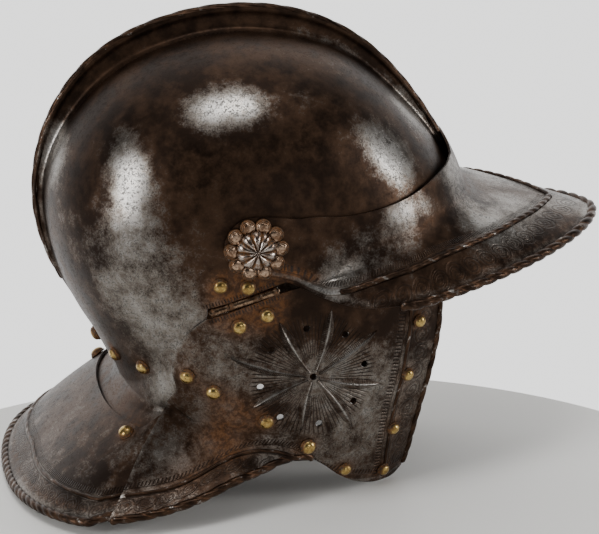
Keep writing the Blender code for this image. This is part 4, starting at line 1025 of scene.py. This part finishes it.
cheek_columns = np.linspace(0, 1, 190)
cheek_rows = np.concatenate([np.linspace(0, 1, CREASE_ROW + 1), np.linspace(1, 2, 34)[1:]])
plate = cheek_point(cheek_columns[:, None], cheek_rows[None, :])
front_side = plate.transpose(1, 0, 2)
down = lengths_down(plate)
along_crease = lengths_beside(plate[:, : CREASE_ROW + 1])
below_crease = down - down[:, CREASE_ROW : CREASE_ROW + 1]
from_front = (lengths_down(front_side)[:, -1:] - lengths_down(front_side)).T
# Along the crease and along the front edge, and how far the ridge lies from them, in m
FLANGE_RIDGE = [
    (0.0, 0.0590), (0.0137, 0.0475), (0.0273, 0.0361), (0.0363, 0.0275), (0.048, 0.0160), (0.0617, 0.0105),
    (0.0823, 0.0124), (0.10, 0.02),
]
FRONT_RIDGE = [
    (0.0, 0.0215), (0.030, 0.0210), (0.048, 0.0201), (0.068, 0.0195), (0.089, 0.0182), (0.115, 0.0175),
]
# Worn places of the cheekpiece: x, y and z in mm from the pivot, reach in mm, strength. The two spots of
# negative strength just below and ahead of the hinge's front end are painted shade under the peak's side
# wing.
CHEEK_WEAR_AND_SHADE = [
    (32, -85, -77, 44, 0.42), (85, -72, -82, 26, 0.40), (60, -80, -115, 28, 0.30), (-20, -88, -60, 26, 0.25),
    (-58, -98, -128, 24, 0.35), (50, -88, -42, 20, -0.45), (20, -90, -40, 14, -0.30),
    (0, -88, -110, 18, -0.15), (-45, -90, -115, 12, 0.35), (8, -86, -122, 12, 0.5), (30, -84, -128, 10, 0.4),
]
CHEEK_RUST = [
    (-17, -86, -107, 15, 1.0), (-8, -88, -92, 12, 0.5), (15, -90, -48, 12, 0.3), (-40, -92, -120, 16, 0.5),
    (84, -72, -100, 12, 0.4),
]
flange_off = through(*zip(*FLANGE_RIDGE), along_crease) - below_crease
front_off = from_front - through(*zip(*FRONT_RIDGE), down[-1:])
flange_map, border_map = paired(along_crease, flange_off), paired(down[-1:], front_off)
cheek_maps = {
    "flange": flange_map * 100, "border": border_map * 100, "star": (plate[..., ::2] - STAR_MIDDLE) * 100,
    "hinge": beside_hinge(plate) * 100,
}
from_rear = np.linalg.norm(plate - plate[:1], axis=-1)
cheek_marks = {
    "wear": nearness(plate, CHEEK_WEAR_AND_SHADE) + 0.35 * close_to(from_rear, 0.0, 0.0016),
    "rust": nearness(plate, RIVET_RUST + HINGE_RUST + CHEEK_RUST) + 0.30 * close_to(flange_off, 0.0, 0.006),
}
cheek_sheet = lay_plate("cheek_plate_right", plate, cheek_maps, cheek_marks)
cheek_right = weld("cheek_plate_right", [cheek_sheet], (0, 0, -0.08))
CHEEK_BORDERS = [("flange", 0.18, 0.50, 0.80, -0.75, 0.95), ("border", 0.20, 0.42, 0.80, -0.95, 1.10)]
cheek_finish = plate_finish("worn_cheekpiece", 0.22, CHEEK_BORDERS, hinge_ticks=True, fans=True)
dress(cheek_right, cheek_finish, bare_inside)
give_wall(cheek_right)
star_places = [STAR_MIDDLE] + [
    STAR_MIDDLE + STAR_CIRCLE * np.array([math.cos(turn), math.sin(turn)])
    for turn in np.radians(np.arange(8) * 45 + STAR_TURN)
]
punches = []
for place in star_places:
    seat, normal = cheek_seat(*place)
    turned = Vector(stood(seat + normal) - stood(seat)).to_track_quat("Z", "Y").to_euler()
    bpy.ops.mesh.primitive_cylinder_add(
        vertices=32, radius=STAR_HOLE_RADIUS, depth=0.012, location=stood(seat), rotation=turned
    )
    bpy.ops.object.transform_apply(location=True, rotation=True, scale=True)
    punches.append(bpy.context.active_object)
pick(*punches)
bpy.ops.object.join()
finish_with(cheek_right, "BOOLEAN", operation="DIFFERENCE", object=punches[0])
bpy.data.objects.remove(punches[0])
smooth(cheek_right)
flange_line = cheek_point(np.linspace(0.004, FLANGE_SHARE, 120), 2.0, -WALL / 2)
front_line = cheek_point(1.0, np.linspace(0.06, 1.93, 160), -WALL / 2)
flange_rope = roped("flange_rope_right", flange_line, radius=0.0025, lay=0.021, strands=2, depth=0.34)
front_rope = roped(
    "front_rope_right", front_line, radius=0.0021, lay=0.022, strands=2, depth=0.34, out=(0, -1, 0)
)
ridge_rows = np.flatnonzero((along_crease[:, 0] > 0.001) & (along_crease[:, 0] < 0.088))
flange_line = line_on(plate[ridge_rows], flange_map[ridge_rows])
flange_bead = bead("flange_ridge_right", flange_line, radius=0.0011, lay=0.020, strands=2, depth=0.06)
front_line = line_on(front_side[:139], border_map.transpose(1, 0, 2)[:139])
front_bead = bead("front_ridge_right", front_line, radius=0.0011, lay=0.020, strands=2, depth=0.06)

# The star on each cheekpiece is eight curved leaves of the same steel about a small hole. Each is
# raised from behind to a sharp rib, and hatched across.
LEAF_HALF_WIDTH = 0.0035
LEAF_RISE = 0.0015
LEAF_SINK = 0.00008
# Share of the leaf's length, share of its width
LEAF = [(0.0, 0.30), (0.30, 0.52), (0.62, 1.0), (0.82, 0.72), (0.94, 0.32), (1.0, 0.02)]
# The leaves' tips in the side view, in mm from the pivot, and how far each bends to its left
LEAF_TIPS = [
    (41.8, -38.1, -1.6), (67.8, -53.5, -1.2), (71.5, -86.5, -1.4), (55.3, -110.6, 1.8), (26.6, -109.2, -1.4),
    (-0.8, -93.5, -1.8), (-14.0, -61.7, 1.6), (12.9, -43.0, 1.2),
]


def leaf(tip_x, tip_z, bend):
    """One leaf from the star's middle to its tip, on the cheekpiece's face."""
    reach = np.array([tip_x, tip_z]) / 1000 - STAR_MIDDLE
    left = np.array([-reach[1], reach[0]]) / np.linalg.norm(reach)
    t, s = np.linspace(0.085, 1.0, 44)[:, None], np.linspace(-1, 1, 17)[None, :]
    width = LEAF_HALF_WIDTH * through(*zip(*LEAF), t)
    shift = bend / 1000 * np.sin(math.pi * t) + width * s
    x = STAR_MIDDLE[0] + reach[0] * t + left[0] * shift
    z = STAR_MIDDLE[1] + reach[1] * t + left[1] * shift
    full = width / LEAF_HALF_WIDTH
    rise = LEAF_RISE * (0.35 + 0.65 * full) * (1 - np.abs(s) ** 0.75) - LEAF_SINK
    points = on_bowl(x, z, cheek_lift(x) + rise)
    along_it = t * np.linalg.norm(reach) * 100
    marks = {"wear": 0.50 + 0.9 * close_to(s, 0.0, 0.16) * full, "rust": 0.35 * close_to(np.abs(s), 1.0, 0.2)}
    return lay_plate("leaf", points, {"leaf": paired(along_it, s)}, marks)


star = weld("star_right", [leaf(*tip) for tip in LEAF_TIPS], (0, 0, -0.08))
dress(star, plate_finish("star_leaves", 0.10, [("leaf", 0.10, 0.18, 0.92, 0, 0)]))
smooth(star, 28)
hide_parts("cheekpiece_right")
for piece in (cheek_right, flange_rope, front_rope, flange_bead, front_bead, star):
    twin = other_side(piece, piece.name.replace("_right", "_left"))
    for made, side in ((piece, "right"), (twin, "left")):
        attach(made, f"cheekpiece_{side}")
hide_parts("cheekpiece_left")

# The rivets are brass with domed heads on small brims, hammered down over holes through the
# plates. Their tops are polished by wear and dirt lies round their brims.


def round_piece(name, radius, turn, height, low):
    """A grid closed round +Z, standing on the origin; low marks where dirt lies."""
    points = np.stack(np.broadcast_arrays(radius * np.cos(turn), radius * np.sin(turn), height), axis=-1)
    made = weld(name, [lay_plate(name, laid_back(points), None, {"groove": low})], laid_back((0, 0, -0.002)))
    smooth(made, 50)
    return made


def turned_piece(name, rows, steps, low=None):
    """A round solid about +Z from rows of radius and height, from the rim up to the middle."""
    radius, height = np.transpose(rows)
    low = 1 - height / height.max() if low is None else low
    return round_piece(name, radius, np.linspace(0, 2 * math.pi, steps + 1)[:, None], height, low)


def set_down(master, name, place, way, size=(1, 1, 1)):
    """A copy of a piece, moved to its place with +Z turned along a direction."""
    z = Vector(way).normalized()
    x = (Vector((1, 0, 0)) - z * z.x).normalized()
    turned = Matrix((x, z.cross(x), z)).transposed().to_4x4()
    made = copied(master, name)
    made.data.transform(Matrix.Translation(Vector(place)) @ turned @ Matrix.Diagonal((*size, 1)))
    return made


def seat_of(node):
    """A CAD rivet's base: its middle, its direction outwards, its radius and height."""
    sums = {}
    for face in node.data.polygons:
        key = tuple(round(value, 2) for value in face.normal)
        area, middle = sums.get(key, (0.0, Vector((0, 0, 0))))
        sums[key] = (area + face.area, middle + face.center * face.area)
    key, (area, middle) = max(sums.items(), key=lambda item: item[1][0])
    way, middle = -Vector(key).normalized(), middle / area
    corners = [vertex.co - middle for vertex in node.data.vertices]
    radius = max((corner - way * corner.dot(way)).length for corner in corners)
    return middle, way, radius, max(corner.dot(way) for corner in corners)


def metal_finish(name, light, dark, crust, dirt, rough):
    """Brass or bronze: bright where it stands up, dirty and rusty where it lies low."""
    material, tree, shader, place = open_finish(name)
    groove = mark(tree, "groove")
    small, speck = cloud(place, 0.0045, 4.0), cloud(place, 0.0012, 4.0, 0.7)
    low = (groove * 1.5 + (small - 0.5) * 1.4 - dirt).between(0.25, 0.95)
    colour = mixed((small + (speck - 0.5) * 0.8).between(0.35, 0.65), light, dark)
    colour = mixed(low, colour, mixed(speck.between(0.38, 0.60), (0.045, 0.030, 0.018, 1), crust))
    colour = mixed(speck.between(0.62, 0.70) * 0.6, colour, (0.06, 0.035, 0.02, 1))
    height = (small - 0.5) * 0.00016 + (speck - 0.5) * 0.00006
    close_finish(shader, colour, 1.0 - low * 0.6, rough + low * 0.35 + (speck - 0.5) * 0.15, height)
    return material


# Share of the radius, share of the height
DOME = [(1.0, -0.10), (1.0, 0.10), (0.97, 0.17), (0.92, 0.20)] + [
    (0.90 * math.cos(turn) ** 0.9, 0.20 + 0.80 * math.sin(turn) ** 1.05)
    for turn in np.radians(range(0, 90, 9))
] + [(0.0, 1.0)]
rivet = turned_piece("rivet", DOME, 28)
brass = metal_finish(
    "worn_brass", (0.50, 0.36, 0.13, 1), (0.30, 0.19, 0.06, 1), (0.15, 0.06, 0.015, 1), -0.05, 0.25
)
dress(rivet, brass)
for node in sorted(name for name in frame["nodes"] if name.startswith("rivet_")):
    middle, way, radius, rise = seat_of(frame["nodes"][node])
    head = set_down(rivet, node.replace("rivet", "brass_rivet"), middle, way, (radius, radius, rise))
    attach(head, body_of(frame["nodes"][node])[0])
    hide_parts(node)
bpy.data.objects.remove(rivet)

# The rosette at each temple is the head of the peak's pivot: a bronze washer of ten domed petals
# under a fluted boss. Silvery wear shows on the lobes and rusty dirt fills the grooves.
PETALS = 10
WASHER_RADIUS, WASHER_EDGE = 0.0175, 0.0014
BOSS_RADIUS, BOSS_HEIGHT = 0.011, 0.0062
petal = WASHER_RADIUS * math.sin(math.pi / PETALS) / (1 + math.sin(math.pi / PETALS))
ring = WASHER_RADIUS - petal
petal_radius = petal * 1.04
turn = np.linspace(0, 2 * math.pi, 361)[:, None]
off = (turn + math.pi / PETALS) % (2 * math.pi / PETALS) - math.pi / PETALS


def rimmed_piece(name, radius, height, low):
    """A round piece whose outer edge goes straight down to the origin's height."""
    radius, low = (np.concatenate([value[:, :1], value], axis=1) for value in (radius, low))
    return round_piece(name, radius, turn, np.concatenate([0 * height[:, :1], height], axis=1), low)


outer = ring * np.cos(off) + np.sqrt(np.maximum(petal_radius**2 - (ring * np.sin(off)) ** 2, 0))
outer *= WASHER_RADIUS / outer.max()
radius = outer * np.concatenate([np.linspace(1.0, 0.42, 56), [0.2, 0.0]])
from_ring = radius * np.cos(off) - ring
from_middle = np.hypot(from_ring, radius * np.sin(off)) / petal_radius
dome = np.sqrt(np.clip(1 - np.minimum(from_middle, 1) ** 2.4, 0, 1))
arcs = close_to(from_middle, 0.80, 0.045) + close_to(from_middle, 0.62, 0.045)
arcs = arcs * np.clip(from_ring / petal_radius * 2 + 0.6, 0, 1)
low = np.clip(1.15 - 1.25 * dome + arcs * 0.9, 0, 1)
washer = rimmed_piece("washer", radius, 0.0010 + 0.0019 * dome - 0.00045 * arcs, low)
lobe = np.abs(np.cos(PETALS / 2 * (turn + math.pi / 2)))
share = np.sin(np.linspace(math.pi / 2, 0, 40))[None, :]
radius = BOSS_RADIUS * share * (0.88 + 0.12 * lobe**0.7)
swell = np.sqrt(np.clip(1 - share**2.6, 0, 1))
flute = (1 - lobe**0.85) * np.clip(share * 5, 0, 1)
dimple = 0.16 * np.clip(1 - share / 0.16, 0, 1) ** 2
height = BOSS_HEIGHT * (0.12 + 0.88 * swell * (1 - 0.26 * flute) - dimple)
boss = rimmed_piece("boss", radius, height, np.clip(flute * 1.1 - 0.1, 0, 1))
bronze = metal_finish(
    "worn_bronze", (0.44, 0.31, 0.22, 1), (0.15, 0.085, 0.05, 1), (0.16, 0.065, 0.018, 1), 0.05, 0.20
)
silvered = metal_finish(
    "rubbed_bronze", (0.42, 0.37, 0.33, 1), (0.17, 0.105, 0.07, 1), (0.17, 0.070, 0.018, 1), -0.15, 0.22
)
dress(washer, bronze)
dress(boss, silvered)
for side, way in (("right", -1), ("left", 1)):
    for master, label in ((washer, "rosette_washer"), (boss, "rosette_boss")):
        low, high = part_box(f"{label}_{side}")
        outermost = (low if way < 0 else high)[1]
        seat = (pivot[0], outermost - way * (BOSS_HEIGHT if master is boss else WASHER_EDGE), pivot[2])
        made = set_down(master, f"bronze_{label}_{side}", seat, (0, way, 0))
        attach(made, body_of(frame["nodes"][f"{label}_{side}"])[0])
        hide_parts(f"{label}_{side}")
bpy.data.objects.remove(washer)
bpy.data.objects.remove(boss)

# Each hinge is a rolled barrel of three knuckles on a pin with round heads. The middle knuckle
# belongs to the cheekpiece, the others to the skull, and the leaves are riveted behind the plates.
KNUCKLE_RADIUS = 0.0021
PIN_HEAD = 0.0014
KNUCKLES = [(0.0, 0.27), (0.27, 0.73), (0.73, 1.0)]
hinge_bronze = metal_finish(
    "hinge_bronze", (0.30, 0.20, 0.13, 1), (0.10, 0.058, 0.035, 1), (0.12, 0.05, 0.015, 1), 0.05, 0.28
)
for side in ("right", "left"):
    joint = next(joint for joint in frame["joints"] if joint["name"] == f"cheek_hinge_{side}")
    middle, way = Vector(joint["pos_m"]), Vector(joint["axis"]).normalized()
    reach = [(vertex.co - middle).dot(way) for vertex in frame["nodes"][f"hinge_pin_{side}"].data.vertices]
    first, long = min(reach) + PIN_HEAD, max(reach) - min(reach) - 2 * PIN_HEAD
    for k, (start, end) in enumerate(KNUCKLES):
        tall = (end - start) * long / KNUCKLE_RADIUS - 0.14
        rows = [(0.0, 0.0), (0.80, 0.0), (0.94, 0.05), (1.0, 0.18)]
        rows += [(1.0, tall * share) for share in (0.25, 0.5, 0.75)]
        rows += [(1.0, tall - 0.18), (0.94, tall - 0.05), (0.80, tall), (0.0, tall)]
        height = np.array(rows)[:, 1]
        low = np.clip(1 - np.minimum(height, tall - height) / 0.5, 0, 1)
        knuckle = turned_piece("knuckle", rows, 32, low)
        place = middle + way * (first + start * long)
        made = set_down(knuckle, f"hinge_knuckle_{k + 1}_{side}", place, way, (KNUCKLE_RADIUS,) * 3)
        bpy.data.objects.remove(knuckle)
        dress(made, hinge_bronze)
        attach(made, f"cheekpiece_{side}" if k == 1 else "skull")
    for label in ("hinge_pin", "hinge_leaf_skull", "hinge_leaf_cheek"):
        dress(frame["nodes"][f"{label}_{side}"], hinge_bronze)

# The helmet stands on a round pale table before a plain pale ground, in soft light from large
# panels, and the camera looks at it from the wearer's right and a little above.
TARGET = np.array([0.03887, 0.0, -0.04359])
VIEW_AZIMUTH, VIEW_ELEVATION, VIEW_DISTANCE = math.radians(-9.0), math.radians(18.5), 2.6
LENS_PIXELS, IMAGE_WIDTH = 4680, 599
TABLE_RADIUS, TABLE_DEPTH, TABLE_MIDDLE = 0.281, 0.020, (-0.0444, -0.148, -0.0108)
ahead = np.array([
    -math.sin(VIEW_AZIMUTH) * math.cos(VIEW_ELEVATION), math.cos(VIEW_AZIMUTH) * math.cos(VIEW_ELEVATION),
    -math.sin(VIEW_ELEVATION),
])
across = np.array([math.cos(VIEW_AZIMUTH), math.sin(VIEW_AZIMUTH), 0.0])
upward = np.cross(across, ahead)
zero = stood((0, 0, 0))
turned = [stood(axis) - zero for axis in (across, upward, -ahead)]
spot = stood(TARGET - VIEW_DISTANCE * ahead)
bpy.ops.object.camera_add(location=spot)
camera = bpy.context.active_object
camera.rotation_euler = Matrix([list(row) for row in np.array(turned).T]).to_euler()
camera.data.sensor_width = 36
camera.data.lens = LENS_PIXELS * 36 / IMAGE_WIDTH
camera.data.shift_x = -0.5 / IMAGE_WIDTH
camera.data.clip_start, camera.data.clip_end = 0.1, 30
bpy.context.scene.camera = camera
bpy.ops.mesh.primitive_cylinder_add(
    vertices=256, radius=TABLE_RADIUS, depth=TABLE_DEPTH, location=TABLE_MIDDLE
)
table = bpy.context.active_object
table.name = "table"
pale = bpy.data.materials.new("pale_table")
pale.use_nodes = True
pale.node_tree.nodes["Principled BSDF"].inputs["Base Color"].default_value = (0.90, 0.885, 0.85, 1)
pale.node_tree.nodes["Principled BSDF"].inputs["Roughness"].default_value = 0.6
dress(table, pale)
smooth(table, 40)


def panel(name, place, size, power, shade=(1, 1, 1)):
    bpy.ops.object.light_add(type="AREA", location=place)
    light = bpy.context.active_object
    light.name = name
    light.data.shape = "RECTANGLE"
    light.data.size, light.data.size_y = size
    light.data.energy = power
    light.data.color = shade
    light.rotation_euler = (Vector((0, 0, 0.13)) - Vector(place)).to_track_quat("-Z", "Y").to_euler()
    return light


panel("left_window", (-1.50, -0.75, 0.55), (0.55, 1.0), 16)
panel("right_window", (1.60, -0.50, 0.48), (0.45, 0.75), 12)
panel("top_panel", (0.02, -0.52, 1.85), (0.75, 0.45), 9)
panel("front_panel", (0.60, -1.85, 0.50), (0.5, 0.5), 3)
world = bpy.data.worlds.new("studio")
bpy.context.scene.world = world
world.use_nodes = True
world.node_tree.nodes["Background"].inputs["Color"].default_value = (1.0, 1.0, 0.995, 1)
direction = fed(world.node_tree, "ShaderNodeTexCoord", output=0)
upright = fed(world.node_tree, "ShaderNodeSeparateXYZ", (direction,), output=2)
backwards = fed(world.node_tree, "ShaderNodeSeparateXYZ", (direction,), output=1)
glow = upright.between(0.05, -0.30) * 0.75 + upright.between(0.72, 0.98) * 0.8 + 0.05
glow = glow.made("MAXIMUM", backwards.between(0.40, 0.58) * 1.75)
seen = fed(world.node_tree, "ShaderNodeLightPath")
strength = seen * 1.82 + (1.0 - seen) * glow
world.node_tree.links.new(strength.socket, world.node_tree.nodes["Background"].inputs["Strength"])
